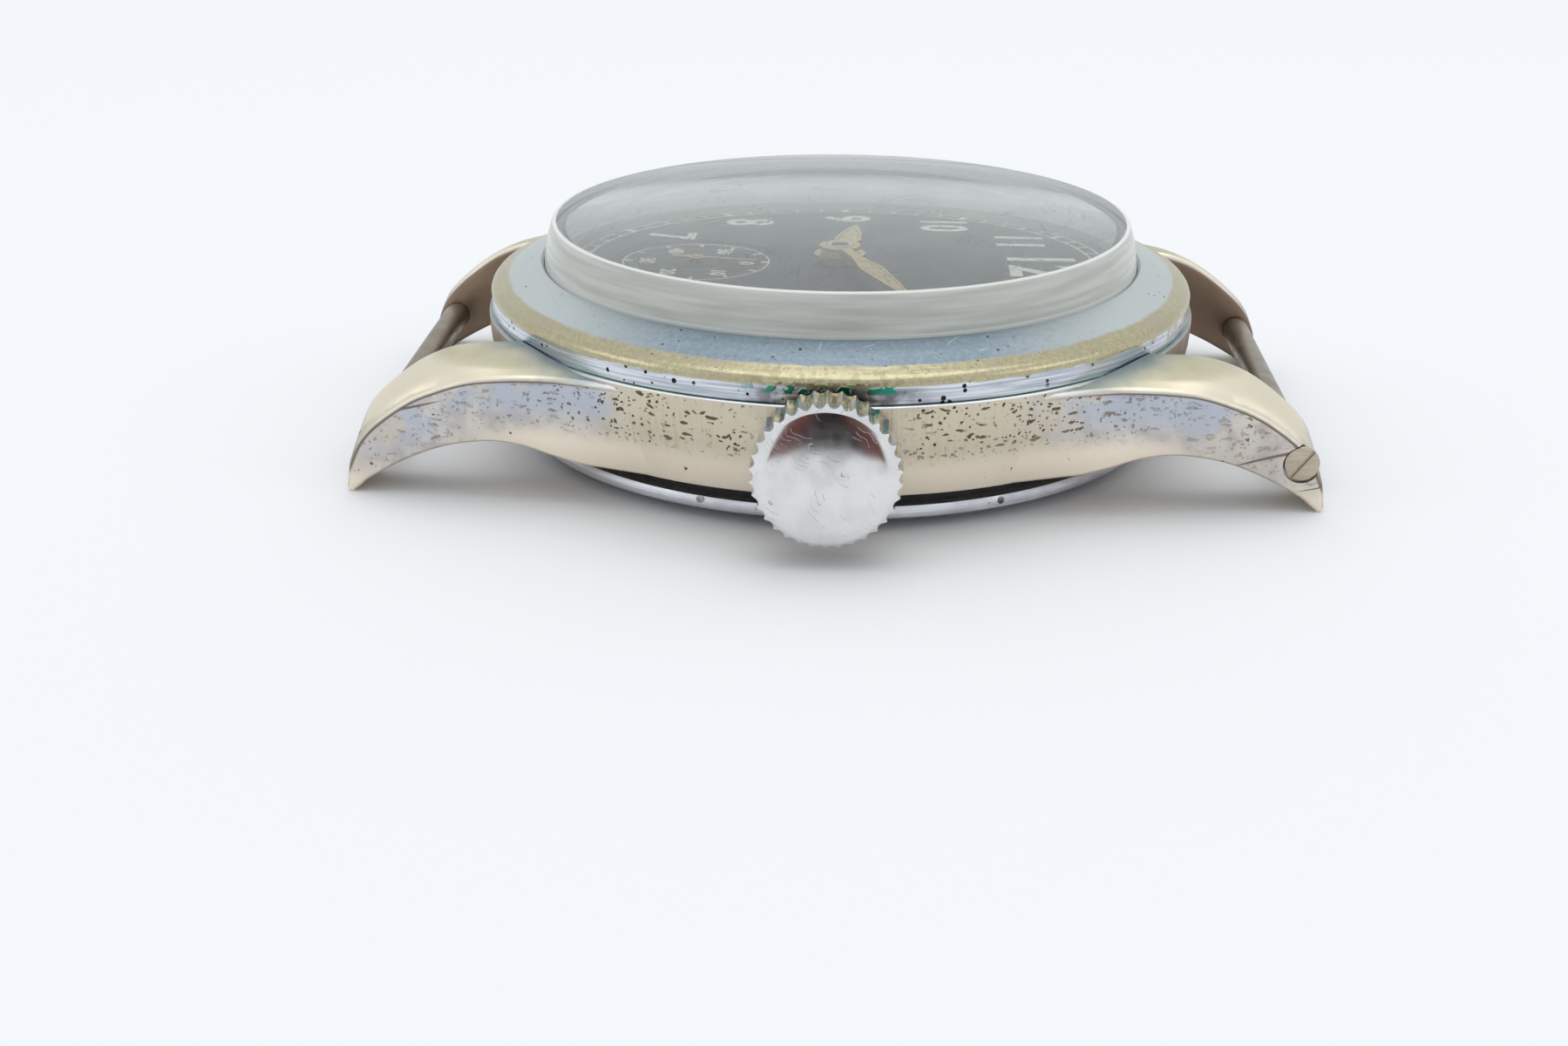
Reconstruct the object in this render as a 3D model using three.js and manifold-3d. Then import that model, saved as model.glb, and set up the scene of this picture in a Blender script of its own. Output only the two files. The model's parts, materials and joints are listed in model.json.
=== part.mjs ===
// A hand-wound wristwatch without its strap: a plated brass case with lugs, a snap bezel, a domed acrylic
// crystal, a steel back, and the lever movement inside. Millimetres. +Z points out of the dial, +Y towards
// twelve o'clock and +X along the winding stem; the origin is under the middle of the back, on the table.
import * as THREE from "three";
import { mergeVertices } from "three/addons/utils/BufferGeometryUtils.js";
import Module from "manifold-3d";

const wasm = await Module();
wasm.setup();

// ---------------------------------------------------------------- driving dimensions, in millimetres
const CLEAR = 0.05; // running clearance of a pivot in its hole, on the radius
const SEAT = 0.03; // clearance of a piece that is fixed in another

// the movement, from its own middle outwards
const MOVEMENT_RADIUS = 12.95; // eleven and a half lignes
const RING_WALL = 0.8; // the ring that holds the movement in the case
const CASE_WALL = 3.05;
const CASE_FOOT_TAPER = 0.8; // how far the band draws in towards its lower edge
const BACK_PLUG_WALL = 0.7; // the wall of the back that goes up into the case
const BACK_PLUG_HEIGHT = 1.15;
const BACK_RIM_OVERHANG = 0.8; // how far the back's flange stands out past that wall
const BACK_FLAT_RADIUS = 11.5;
const NECK_WALL = 1.25; // the neck of the case that the bezel snaps over
const LIP_REACH = 0.95; // how far the case's lip covers the dial's edge
const BEZEL_STEP = 0.12; // the case shoulder that shows outside the bezel

// heights, from the table up
const BACK_FLOOR = 0.85;
const BACK_RIM_LOW = 0.64;
const BACK_RIM_HEIGHT = 0.56;
const GASKET_HEIGHT = 0.7;
const BACK_AIR = 1.9; // room between the back and the bridges, for the winding wheels
const BRIDGE_THICKNESS = 0.55;
const TRAIN_HEIGHT = 1.8; // room between the bridges and the main plate
const PLATE_THICKNESS = 0.7;
const MOTION_HEIGHT = 0.7; // room under the dial for the motion work
const DIAL_THICKNESS = 0.4;
const LIP_THICKNESS = 0.35;
const CASE_SHOULDER_DROP = 1.05; // from the top of the neck down to the bezel's seat
const BEZEL_WALL_HEIGHT = 0.8;
const BEZEL_EDGE_RISE = 0.55; // the rounded outer edge of the bezel
const BEZEL_EDGE_WIDTH = 0.6;
const BEZEL_SLOPE_RISE = 0.8;

// the crystal
const CRYSTAL_SEAT = 1.3; // how wide a ring of the crystal rests on the lip
const CRYSTAL_WALL = 1.35;
const CRYSTAL_SIDE = 3.0; // height of its upright side
const CRYSTAL_DRAFT = 0.55; // how far the side leans in
const CRYSTAL_DOME = 0.95;
const CRYSTAL_THICKNESS = 1.3;

// lugs and strap bars
const STRAP_WIDTH = 18;
const LUG_WIDTH = 2.8; // at the tip
const LUG_FLARE = 1.25; // how much wider a lug is where it leaves the case
const LUG_LENGTH = 4.95; // from the widest circle of the case to a lug's tip
const LUG_CROWN = 0.25; // how far a lug's top bulges between its two edges
const LUG_TILT = 0.9; // how much higher a lug's inner edge is than its outer one
const LUG_PROUD = 0.3; // the most that a lug's root rises past the bezel's seat
const BAR_RADIUS = 0.65;
const BAR_HEAD_RIM = 0.13; // how far the bar's head stands out past its shank
const BAR_HEAD_LENGTH = 0.9;
const BAR_HEAD_PROUD = 0.1; // how far the head stands out of the lug's tip
const BAR_INSET = 1.15; // from the lug's tip back to the bar
const BAR_HEIGHT = 2.3;
const SLOT_WIDTH = 0.22;

// crown, stem and keyless work
const STEM_RISE = 0.8; // from the bridges' upper face to the stem's axis
const STEM_RADIUS = 0.6;
const STEM_TRAVEL = 1.0; // pulled out to set the hands
const CROWN_RADIUS = 3.2;
const CROWN_LENGTH = 2.4;
const CROWN_GAP = 0.5; // between the crown and the case
const CROWN_FLUTES = 34;
const CROWN_FLUTE_DEPTH = 0.22;
const TUBE_WALL = 0.4;
const TUBE_BORE_CLEARANCE = 0.15;
const WINDING_PINION_LENGTH = 1.0;
const CLUTCH_WALL = 0.35; // how far the clutch stands out past the stem
const CLUTCH_LENGTH = 1.5;
const CLUTCH_GROOVE_DEPTH = 0.3;
const LEVER_THICKNESS = 0.25;
const LEVER_WIDTH = 0.8;
const LEVER_PIN_RADIUS = 0.2;
const LEVER_ROOM = 3.4; // how far the gap in the movement ring runs on the lever's side

// wheels: tooth counts, and modules in millimetres
const BARREL = { teeth: 60, module: 0.18 };
const CENTRE_PINION = { teeth: 10, module: 0.18 };
const CENTRE_WHEEL = { teeth: 64, module: 0.125 };
const THIRD_PINION = { teeth: 8, module: 0.125 };
const THIRD_WHEEL = { teeth: 60, module: 0.1 };
const FOURTH_PINION = { teeth: 8, module: 0.1 };
const FOURTH_WHEEL = { teeth: 60, module: 0.1 };
const ESCAPE_PINION = { teeth: 6, module: 0.1 };
const CANNON = { teeth: 12, module: 0.14 };
const MINUTE_WHEEL = { teeth: 36, module: 0.14 };
const SETTING_WHEEL = { teeth: 20, module: 0.14 };
const MINUTE_PINION_TEETH = 10;
const HOUR_WHEEL_TEETH = 40;
const CROWN_WHEEL_TEETH = 28;
const RATCHET_TEETH = 47;
const WINDING_PINION_TEETH = 14;
const CROWN_FACE_TEETH = 28;
const ESCAPE_TEETH = 15;
const ESCAPE_RADIUS = 2.5;
const PALLET_DISTANCE = 3.0; // from the escape wheel's axis to the pallets' axis
const PALLET_COCK_REACH = 2.7; // from the pallets' axis to each of their cock's two feet
const BALANCE_RADIUS = 3.9;
const SECONDS_OFFSET = 7.0; // from the middle of the dial down to the small seconds
const BARREL_ANGLE = 55; // degrees from the stem towards twelve
const ESCAPE_ANGLE = 200; // degrees, seen from the fourth wheel
const MINUTE_WHEEL_ANGLE = -35;
const BALANCE_PLACE = [-7.3, -2.2];

const PIVOT = 0.2; // radius of an ordinary pivot
const SCREW_RADIUS = 0.35;
const SCREW_HEAD_RADIUS = 0.75;
const SCREW_HEAD = 0.3;
const POST_RADIUS = 0.9;
const ROUND = 36; // sides of a large turned piece
const MIDDLE_ROUND = 16; // sides of a drum, a hub or a wheel's opening
const SMALL_ROUND = 8; // sides of a screw or a post
const PIVOT_ROUND = 6;
const EPS = 0.5; // how far a cutting tool runs past the face that it cuts

// ---------------------------------------------------------------- what follows from them
const DEGREE = Math.PI / 180;
const RING_OUTER = MOVEMENT_RADIUS + CLEAR + RING_WALL;
const CASE_BORE = RING_OUTER + 0.15;
const CASE_RADIUS = CASE_BORE + CASE_WALL;
const CASE_FOOT_RADIUS = CASE_RADIUS - CASE_FOOT_TAPER;
const BACK_BORE = CASE_BORE + 0.55;
const BACK_PLUG_RADIUS = BACK_BORE - 0.1;
const BACK_RIM_RADIUS = BACK_PLUG_RADIUS + BACK_RIM_OVERHANG;
const BACK_RIM_TOP = BACK_RIM_LOW + BACK_RIM_HEIGHT;
const CASE_BOTTOM = BACK_RIM_TOP + GASKET_HEIGHT;
const BRIDGE_BOTTOM = BACK_FLOOR + BACK_AIR;
const BRIDGE_TOP = BRIDGE_BOTTOM + BRIDGE_THICKNESS;
const PLATE_BOTTOM = BRIDGE_TOP + TRAIN_HEIGHT;
const PLATE_TOP = PLATE_BOTTOM + PLATE_THICKNESS;
const DIAL_BOTTOM = PLATE_TOP + MOTION_HEIGHT;
const DIAL_TOP = DIAL_BOTTOM + DIAL_THICKNESS;
const LIP_BOTTOM = DIAL_TOP + CLEAR;
const NECK_TOP = LIP_BOTTOM + LIP_THICKNESS;
const CASE_TOP = NECK_TOP - CASE_SHOULDER_DROP;
const DIAL_RADIUS = RING_OUTER - 0.05;
const LIP_RADIUS = CASE_BORE - LIP_REACH;
const CRYSTAL_RADIUS = LIP_RADIUS + CRYSTAL_SEAT;
const NECK_RADIUS = CASE_BORE + NECK_WALL;
const BEZEL_RADIUS = CASE_RADIUS - BEZEL_STEP;
const BEZEL_TOP = CASE_TOP + BEZEL_WALL_HEIGHT + BEZEL_EDGE_RISE + BEZEL_SLOPE_RISE;
const STEM_Z = BRIDGE_TOP + STEM_RISE;
const CLUTCH_RADIUS = STEM_RADIUS + CLUTCH_WALL;
const LUG_REACH = CASE_RADIUS + LUG_LENGTH;
const LUG_INNER = STRAP_WIDTH / 2;
const LUG_OUTER = LUG_INNER + LUG_WIDTH;
const BAR_HEAD_RADIUS = BAR_RADIUS + BAR_HEAD_RIM;
const WHEEL_TOP = BRIDGE_BOTTOM - CLEAR; // the winding wheels, on the outside of the barrel bridge
const WHEEL_THICKNESS = 0.4;
const WHEEL_BOTTOM = WHEEL_TOP - WHEEL_THICKNESS;
const POCKET_FLOOR = PLATE_BOTTOM + 0.2; // of the main plate's pockets for the motion work
const PIVOT_TOP = POCKET_FLOOR - 0.05;

const polar = (radius, degrees) => [radius * Math.cos(degrees * DEGREE), radius * Math.sin(degrees * DEGREE)];
const plus = (a, b) => [a[0] + b[0], a[1] + b[1]];
const minus = (a, b) => [a[0] - b[0], a[1] - b[1]];
const distance = (a, b) => Math.hypot(a[0] - b[0], a[1] - b[1]);
const heading = (a, b) => Math.atan2(b[1] - a[1], b[0] - a[0]) / DEGREE;
const pitchRadius = (gear) => (gear.teeth * gear.module) / 2;
const centreDistance = (a, b) => pitchRadius(a) + pitchRadius(b);

// where each arbor stands, worked out from the wheels that mesh
const CENTRE = [0, 0];
const BARREL_AT = polar(centreDistance(BARREL, CENTRE_PINION), BARREL_ANGLE);
const FOURTH_AT = [0, -SECONDS_OFFSET];
const THIRD_AT = meetingPoint(
  centreDistance(CENTRE_WHEEL, THIRD_PINION),
  centreDistance(THIRD_WHEEL, FOURTH_PINION),
);
const ESCAPE_AT = plus(FOURTH_AT, polar(centreDistance(FOURTH_WHEEL, ESCAPE_PINION), ESCAPE_ANGLE));
const ESCAPE_HEADING = heading(ESCAPE_AT, BALANCE_PLACE);
const PALLET_AT = plus(ESCAPE_AT, polar(PALLET_DISTANCE, ESCAPE_HEADING));
const MINUTE_AT = polar(centreDistance(CANNON, MINUTE_WHEEL), MINUTE_WHEEL_ANGLE);
const SETTING_AT = settingWheelPlace();

// keyless work along the stem, from the crown inwards
const CROWN_BACK = CASE_RADIUS + CROWN_GAP;
const CROWN_FRONT = CROWN_BACK + CROWN_LENGTH;
const WINDING_PINION_START = MOVEMENT_RADIUS - 2.05;
const CLUTCH_START = WINDING_PINION_START - 0.3 - CLUTCH_LENGTH;
const STEM_END = CLUTCH_START - STEM_TRAVEL - 0.7;
const FACE_RADIUS = 2.4; // of the crown wheel's upright teeth
const WINDING_MODULE = (2 * FACE_RADIUS) / CROWN_FACE_TEETH;
const WINDING_PINION = { teeth: WINDING_PINION_TEETH, module: WINDING_MODULE };
const CROWN_WHEEL_AT = [WINDING_PINION_START + WINDING_PINION_LENGTH / 2 - FACE_RADIUS, 0];
const WINDING_WHEEL_MODULE = (2 * distance(CROWN_WHEEL_AT, BARREL_AT)) / (CROWN_WHEEL_TEETH + RATCHET_TEETH);
const CROWN_WHEEL = { teeth: CROWN_WHEEL_TEETH, module: WINDING_WHEEL_MODULE };
const RATCHET = { teeth: RATCHET_TEETH, module: WINDING_WHEEL_MODULE };
const MINUTE_PINION_MODULE =
  (2 * distance(CENTRE, MINUTE_AT)) / (MINUTE_PINION_TEETH + HOUR_WHEEL_TEETH);
const MINUTE_PINION = { teeth: MINUTE_PINION_TEETH, module: MINUTE_PINION_MODULE };
const HOUR_WHEEL = { teeth: HOUR_WHEEL_TEETH, module: MINUTE_PINION_MODULE };

// the third arbor, a known way from the centre and from the fourth, on the stem's side
function meetingPoint(fromCentre, fromFourth) {
  const along = (fromCentre ** 2 - fromFourth ** 2 + SECONDS_OFFSET ** 2) / (2 * SECONDS_OFFSET);
  return [Math.sqrt(fromCentre ** 2 - along ** 2), -along];
}

// the setting wheel stands on the stem's line and meshes with the minute wheel
function settingWheelPlace() {
  const reach = centreDistance(MINUTE_WHEEL, SETTING_WHEEL);
  return [MINUTE_AT[0] + Math.sqrt(reach ** 2 - MINUTE_AT[1] ** 2), 0];
}

// ---------------------------------------------------------------- solids
// A closed geometry as a manifold-3d solid, turned right side out.
function solid(geometry) {
  const bare = geometry.index ? geometry.toNonIndexed() : geometry.clone();
  bare.deleteAttribute("normal");
  bare.deleteAttribute("uv");
  const merged = mergeVertices(bare, 1e-4);
  const triVerts = new Uint32Array(merged.index.array);
  const vertProperties = new Float32Array(merged.attributes.position.array);
  const made = new wasm.Manifold(new wasm.Mesh({ numProp: 3, vertProperties, triVerts }));
  if (made.volume() >= 0) return made;
  triVerts.reverse();
  return new wasm.Manifold(new wasm.Mesh({ numProp: 3, vertProperties, triVerts }));
}

function geometryOf(body) {
  const mesh = body.getMesh();
  const position = new THREE.BufferAttribute(new Float32Array(mesh.vertProperties), 3);
  const geometry = new THREE.BufferGeometry().setAttribute("position", position);
  geometry.setIndex(new THREE.BufferAttribute(new Uint32Array(mesh.triVerts), 1));
  const flat = geometry.toNonIndexed();
  flat.computeVertexNormals();
  return flat;
}

const join = (first, ...rest) => rest.reduce((whole, next) => whole.add(next), first);
const cut = (first, ...tools) => tools.reduce((whole, tool) => whole.subtract(tool), first);
const moved = (body, x, y, z = 0) => body.translate([x, y, z]);

// A turned piece about Z from a closed outline of [radius, height].
function turned(outline, sides = ROUND) {
  const points = outline.map(([radius, height]) => new THREE.Vector2(radius, height));
  if (outline.every(([radius]) => radius > 0)) points.push(points[0]);
  return solid(new THREE.LatheGeometry(points, sides).rotateX(Math.PI / 2));
}

const disc = (radius, low, high, sides = SMALL_ROUND) =>
  turned([[0, low], [radius, low], [radius, high], [0, high]], sides);
const tube = (inner, outer, low, high, sides = SMALL_ROUND) =>
  turned([[inner, low], [outer, low], [outer, high], [inner, high]], sides);

// A flat plate between two heights from an outline, with round holes [x, y, radius].
function plate(outline, low, high, holes = []) {
  const shape = new THREE.Shape(outline.map(([x, y]) => new THREE.Vector2(x, y)));
  const raised = new THREE.ExtrudeGeometry(shape, { depth: high - low, bevelEnabled: false, curveSegments: 8 });
  const body = solid(raised.translate(0, 0, low));
  const sides = (radius) => (radius > 0.5 ? MIDDLE_ROUND : SMALL_ROUND);
  const drill = ([x, y, radius]) => moved(disc(radius, low - EPS, high + EPS, sides(radius)), x, y);
  return cut(body, ...holes.map(drill));
}

function box(low, high) {
  const size = high.map((value, axis) => value - low[axis]);
  const middle = high.map((value, axis) => (value + low[axis]) / 2);
  return solid(new THREE.BoxGeometry(...size).translate(...middle));
}

// The outline of a bar with round ends between two points.
function capsule(from, to, radius, steps = 6) {
  const angle = heading(from, to);
  const end = (point, start) =>
    Array.from({ length: steps + 1 }, (_, i) => plus(point, polar(radius, start + (180 * i) / steps)));
  return [...end(to, angle - 90), ...end(from, angle + 90)];
}

// A wheel's outline: pointed teeth, one of them centred on the given angle in degrees.
function wheelOutline({ teeth, module }, phase = 0) {
  const middle = (teeth * module) / 2;
  const tip = middle + 0.7 * module;
  const root = middle - 1.1 * module;
  const pitch = 360 / teeth;
  return Array.from({ length: teeth }, (_, i) => i * pitch + phase).flatMap((angle) => [
    polar(root, angle - pitch / 2),
    polar(tip, angle),
  ]);
}

// A pinion's outline: slim leaves with room between them.
function pinionOutline({ teeth, module }, phase = 0) {
  const middle = (teeth * module) / 2;
  const root = middle - 1.1 * module;
  const tip = middle + 0.45 * module;
  const halfRoot = (0.5 * module) / root / DEGREE;
  const halfTip = (0.2 * module) / tip / DEGREE;
  const pitch = 360 / teeth;
  return Array.from({ length: teeth }, (_, i) => i * pitch + phase).flatMap((angle) => [
    polar(root, angle - halfRoot),
    polar(tip, angle - halfTip),
    polar(tip, angle + halfTip),
    polar(root, angle + halfRoot),
  ]);
}

// The angle to turn a gear to so that it meshes with one already turned to `phase`, seen along `direction`.
function meshed(phase, teeth, otherTeeth, direction) {
  const pitch = 360 / teeth;
  const otherPitch = 360 / otherTeeth;
  const off = phase - direction - pitch * Math.round((phase - direction) / pitch);
  return direction + 180 - (off * otherPitch) / pitch + otherPitch / 2;
}

// A wheel with a hub and spokes.
function spokedWheel(gear, phase, low, high, hub, spokes = 4) {
  const rim = pitchRadius(gear) - 2.6 * gear.module;
  const blank = plate(wheelOutline(gear, phase), low, high);
  const opening = tube(hub, rim, low - EPS, high + EPS, MIDDLE_ROUND);
  const arms = Array.from({ length: spokes / 2 }, (_, i) =>
    box([-rim - EPS, -0.2, low - 2 * EPS], [rim + EPS, 0.2, high + 2 * EPS]).rotate([0, 0, (360 / spokes) * i]),
  );
  return cut(blank, cut(opening, ...arms));
}

// A slotted screw with its head down, at low, and its shank up into the plate.
function screw(headRadius, headHeight, shankRadius, low, high) {
  const body = join(
    disc(headRadius, low, low + headHeight),
    disc(shankRadius, low + headHeight, high),
  );
  return cut(body, box([-headRadius - EPS, -SLOT_WIDTH / 2, low - EPS], [headRadius + EPS, SLOT_WIDTH / 2, low + 0.15]));
}

// ---------------------------------------------------------------- materials
const finish = (color, metalness, roughness) => new THREE.MeshStandardMaterial({ color, metalness, roughness });
const PLATED = finish(0xb9b29c, 0.9, 0.4);
const WORN_BRASS = finish(0xcabf96, 0.9, 0.35);
const STEEL = finish(0xc8c8ca, 1, 0.3);
const POLISHED = finish(0xd4d4d6, 1, 0.2);
const GILT = finish(0xc9a662, 1, 0.35);
const NICKEL = finish(0xc3bfb4, 1, 0.35);
const BLUED = finish(0x2b3a5c, 1, 0.3);
const RUBBER = finish(0x101010, 0, 0.8);
const DIAL_BLACK = finish(0x17191b, 0, 0.5);
const LUME = finish(0xcbb98a, 0, 0.7);
const ACRYLIC = new THREE.MeshStandardMaterial({ color: 0xe8ece8, transparent: true, opacity: 0.35, roughness: 0.1 });

const root = new THREE.Group();
const movement = new THREE.Group();
root.add(movement);

function add(group, name, body, material, place = [0, 0]) {
  const mesh = new THREE.Mesh(geometryOf(body), material);
  mesh.name = name;
  mesh.position.set(place[0], place[1], 0);
  group.add(mesh);
}

// ---------------------------------------------------------------- case
// A lug is a loft of sections from the case out to its tip: upright sides and a crowned top. It falls from
// the shoulder of the case to the table, so heights are shares of the shoulder's.
const LUG_SECTIONS = [
  // [upper distance, upper height, lower distance, lower height, share of the flare], distances back from the tip
  [10.9, 0.968, 10.9, 0.32, 1],
  [8.6, 0.963, 9.6, 0.376, 0.96],
  [7.2, 0.947, 8.4, 0.435, 0.86],
  [5.8, 0.912, 7.0, 0.456, 0.7],
  [4.5, 0.84, 5.6, 0.426, 0.52],
  [3.1, 0.736, 4.3, 0.368, 0.33],
  [1.6, 0.56, 3.0, 0.28, 0.17],
  [0.75, 0.4, 1.9, 0.189, 0.09],
  [0.22, 0.224, 1.0, 0.106, 0.03],
  [0, 0, 0.35, 0, 0],
];

function lug() {
  const across = [0, 0.22, 0.5, 0.78, 1];
  const rings = LUG_SECTIONS.map(([topY, topShare, lowY, lowShare, flare], index) => {
    const [topZ, lowZ] = [topShare * CASE_TOP, lowShare * CASE_TOP];
    const width = LUG_WIDTH + LUG_FLARE * flare;
    const outer = LUG_INNER + width;
    const fade = Math.min(1, (LUG_SECTIONS.length - 1 - index) / 2);
    const top = across.map((share) => [
      LUG_INNER + share * width,
      LUG_REACH - topY,
      Math.min(CASE_TOP + LUG_PROUD, topZ + fade * (LUG_TILT * (1 - share) + LUG_CROWN * Math.sin(Math.PI * share))),
    ]);
    return [...top, [outer, LUG_REACH - lowY, lowZ], [LUG_INNER, LUG_REACH - lowY, lowZ]];
  });
  return loft(rings);
}

// A closed skin over rings of equally many points.
function loft(rings) {
  const around = rings[0].length;
  const positions = rings.flat(2);
  const faces = [];
  for (let ring = 0; ring + 1 < rings.length; ring++) {
    for (let i = 0; i < around; i++) {
      const next = (i + 1) % around;
      const a = ring * around + i;
      const b = ring * around + next;
      faces.push(a, b, b + around, a, b + around, a + around);
    }
  }
  const last = (rings.length - 1) * around;
  for (let i = 1; i + 1 < around; i++) {
    faces.push(0, i + 1, i);
    faces.push(last, last + i, last + i + 1);
  }
  const geometry = new THREE.BufferGeometry();
  geometry.setAttribute("position", new THREE.Float32BufferAttribute(positions, 3));
  geometry.setIndex(faces);
  return solid(geometry);
}

// A lug's holes for the bar at this corner: a plain one where the thread ends, a countersunk one at the head.
function barBore(side, headSide) {
  const start = side * (LUG_INNER - EPS);
  const depth = side === headSide ? LUG_WIDTH + 2 * EPS : LUG_WIDTH - 0.5 + EPS;
  const bore = disc(BAR_RADIUS + SEAT, 0, depth, MIDDLE_ROUND).rotate([0, side * 90, 0]).translate([start, 0, 0]);
  if (side !== headSide) return bore;
  const head = disc(BAR_HEAD_RADIUS + SEAT, 0, BAR_HEAD_LENGTH + EPS, MIDDLE_ROUND).rotate([0, side * 90, 0]);
  return bore.add(head.translate([side * (LUG_OUTER - BAR_HEAD_LENGTH), 0, 0]));
}

function midCase() {
  const band = turned([
    [BACK_BORE, CASE_BOTTOM],
    [CASE_FOOT_RADIUS - 0.15, CASE_BOTTOM],
    [CASE_FOOT_RADIUS, CASE_BOTTOM + 0.12],
    [CASE_RADIUS - 0.18, (CASE_BOTTOM + CASE_TOP) / 2],
    [CASE_RADIUS, CASE_TOP - 0.25],
    [CASE_RADIUS - 0.12, CASE_TOP],
    [NECK_RADIUS, CASE_TOP],
    [NECK_RADIUS, NECK_TOP],
    [LIP_RADIUS, NECK_TOP],
    [LIP_RADIUS, LIP_BOTTOM],
    [CASE_BORE, LIP_BOTTOM],
    [CASE_BORE, CASE_BOTTOM + BACK_PLUG_HEIGHT - GASKET_HEIGHT + 0.1],
    [BACK_BORE, CASE_BOTTOM + BACK_PLUG_HEIGHT - GASKET_HEIGHT + 0.1],
  ]);
  const oneLug = lug();
  const lugs = [
    oneLug,
    oneLug.mirror([1, 0, 0]),
    oneLug.mirror([0, 1, 0]),
    oneLug.mirror([1, 0, 0]).mirror([0, 1, 0]),
  ];
  // the lugs' roots stop at the band's wall, and stay under the bezel and outside the back
  const inside = disc(CASE_BORE + 0.6, -EPS, NECK_TOP + EPS, ROUND);
  const bezelRoom = disc(BEZEL_RADIUS + CLEAR, CASE_TOP, NECK_TOP + 2, ROUND);
  const backRoom = disc(CASE_FOOT_RADIUS - 0.3, -EPS, CASE_BOTTOM, ROUND);
  const wings = cut(join(...lugs), inside, bezelRoom, backRoom);
  const bores = [
    [1, 1],
    [-1, -1],
  ].flatMap(([end, headSide]) =>
    [1, -1].map((side) => barBore(side, headSide).translate([0, end * (LUG_REACH - BAR_INSET), BAR_HEIGHT])),
  );
  const tubeBore = disc(STEM_RADIUS + TUBE_BORE_CLEARANCE + TUBE_WALL + SEAT, 0, CASE_RADIUS, MIDDLE_ROUND)
    .rotate([0, 90, 0])
    .translate([CASE_BORE - 1, 0, STEM_Z]);
  return cut(join(band, wings), ...bores, tubeBore);
}

function bezel() {
  const wallTop = CASE_TOP + BEZEL_WALL_HEIGHT;
  const bend = 0.5 * Math.SQRT2;
  return turned([
    [NECK_RADIUS + CLEAR, CASE_TOP],
    [BEZEL_RADIUS, CASE_TOP],
    [BEZEL_RADIUS, wallTop],
    [BEZEL_RADIUS - BEZEL_EDGE_WIDTH * (1 - bend), wallTop + BEZEL_EDGE_RISE * bend],
    [BEZEL_RADIUS - BEZEL_EDGE_WIDTH, wallTop + BEZEL_EDGE_RISE],
    [CRYSTAL_RADIUS + SEAT, BEZEL_TOP],
    [CRYSTAL_RADIUS + SEAT, NECK_TOP],
    [NECK_RADIUS + CLEAR, NECK_TOP],
  ]);
}

function crystal() {
  const edge = NECK_TOP + CRYSTAL_SIDE;
  const dome = (share, radius, height, rise) => [radius * share, height + rise * (1 - share ** 2)];
  const rim = CRYSTAL_RADIUS - CRYSTAL_DRAFT;
  const hollow = CRYSTAL_RADIUS - CRYSTAL_WALL;
  const ceiling = edge - CRYSTAL_THICKNESS;
  return turned([
    [0, ceiling + CRYSTAL_DOME],
    dome(0.5, hollow - CRYSTAL_DRAFT, ceiling, CRYSTAL_DOME),
    [hollow - CRYSTAL_DRAFT, ceiling],
    [hollow, NECK_TOP],
    [CRYSTAL_RADIUS, NECK_TOP],
    [CRYSTAL_RADIUS, BEZEL_TOP],
    [rim + 0.1, edge - 0.15],
    [rim - 0.1, edge],
    dome(0.66, rim, edge, CRYSTAL_DOME),
    dome(0.33, rim, edge, CRYSTAL_DOME),
    [0, edge + CRYSTAL_DOME],
  ]);
}

function caseBack() {
  return turned([
    [0, 0],
    [BACK_FLAT_RADIUS, 0],
    [BACK_RIM_RADIUS - 0.9, BACK_RIM_LOW * 0.55],
    [BACK_RIM_RADIUS, BACK_RIM_LOW],
    [BACK_RIM_RADIUS, BACK_RIM_TOP],
    [BACK_PLUG_RADIUS, BACK_RIM_TOP],
    [BACK_PLUG_RADIUS, BACK_RIM_TOP + BACK_PLUG_HEIGHT],
    [BACK_PLUG_RADIUS - BACK_PLUG_WALL, BACK_RIM_TOP + BACK_PLUG_HEIGHT],
    [BACK_PLUG_RADIUS - BACK_PLUG_WALL, BACK_FLOOR],
    [0, BACK_FLOOR],
  ]);
}

// A strap bar lies across two lugs: shank, thread end and a slotted head.
function strapBar(headSide) {
  const shank = disc(BAR_RADIUS, -LUG_OUTER + 0.6, LUG_OUTER - BAR_HEAD_LENGTH, MIDDLE_ROUND);
  const head = disc(BAR_HEAD_RADIUS, LUG_OUTER - BAR_HEAD_LENGTH + CLEAR, LUG_OUTER + BAR_HEAD_PROUD, MIDDLE_ROUND);
  const neck = disc(BAR_RADIUS, LUG_OUTER - BAR_HEAD_LENGTH - EPS, LUG_OUTER - BAR_HEAD_LENGTH + 2 * CLEAR, MIDDLE_ROUND);
  const slot = box(
    [-BAR_HEAD_RADIUS - EPS, -SLOT_WIDTH / 2, LUG_OUTER + BAR_HEAD_PROUD - 0.3],
    [BAR_HEAD_RADIUS + EPS, SLOT_WIDTH / 2, LUG_OUTER + EPS],
  ).rotate([0, 0, 40]);
  return cut(join(shank, neck, head), slot).rotate([0, headSide * 90, 0]);
}

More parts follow.
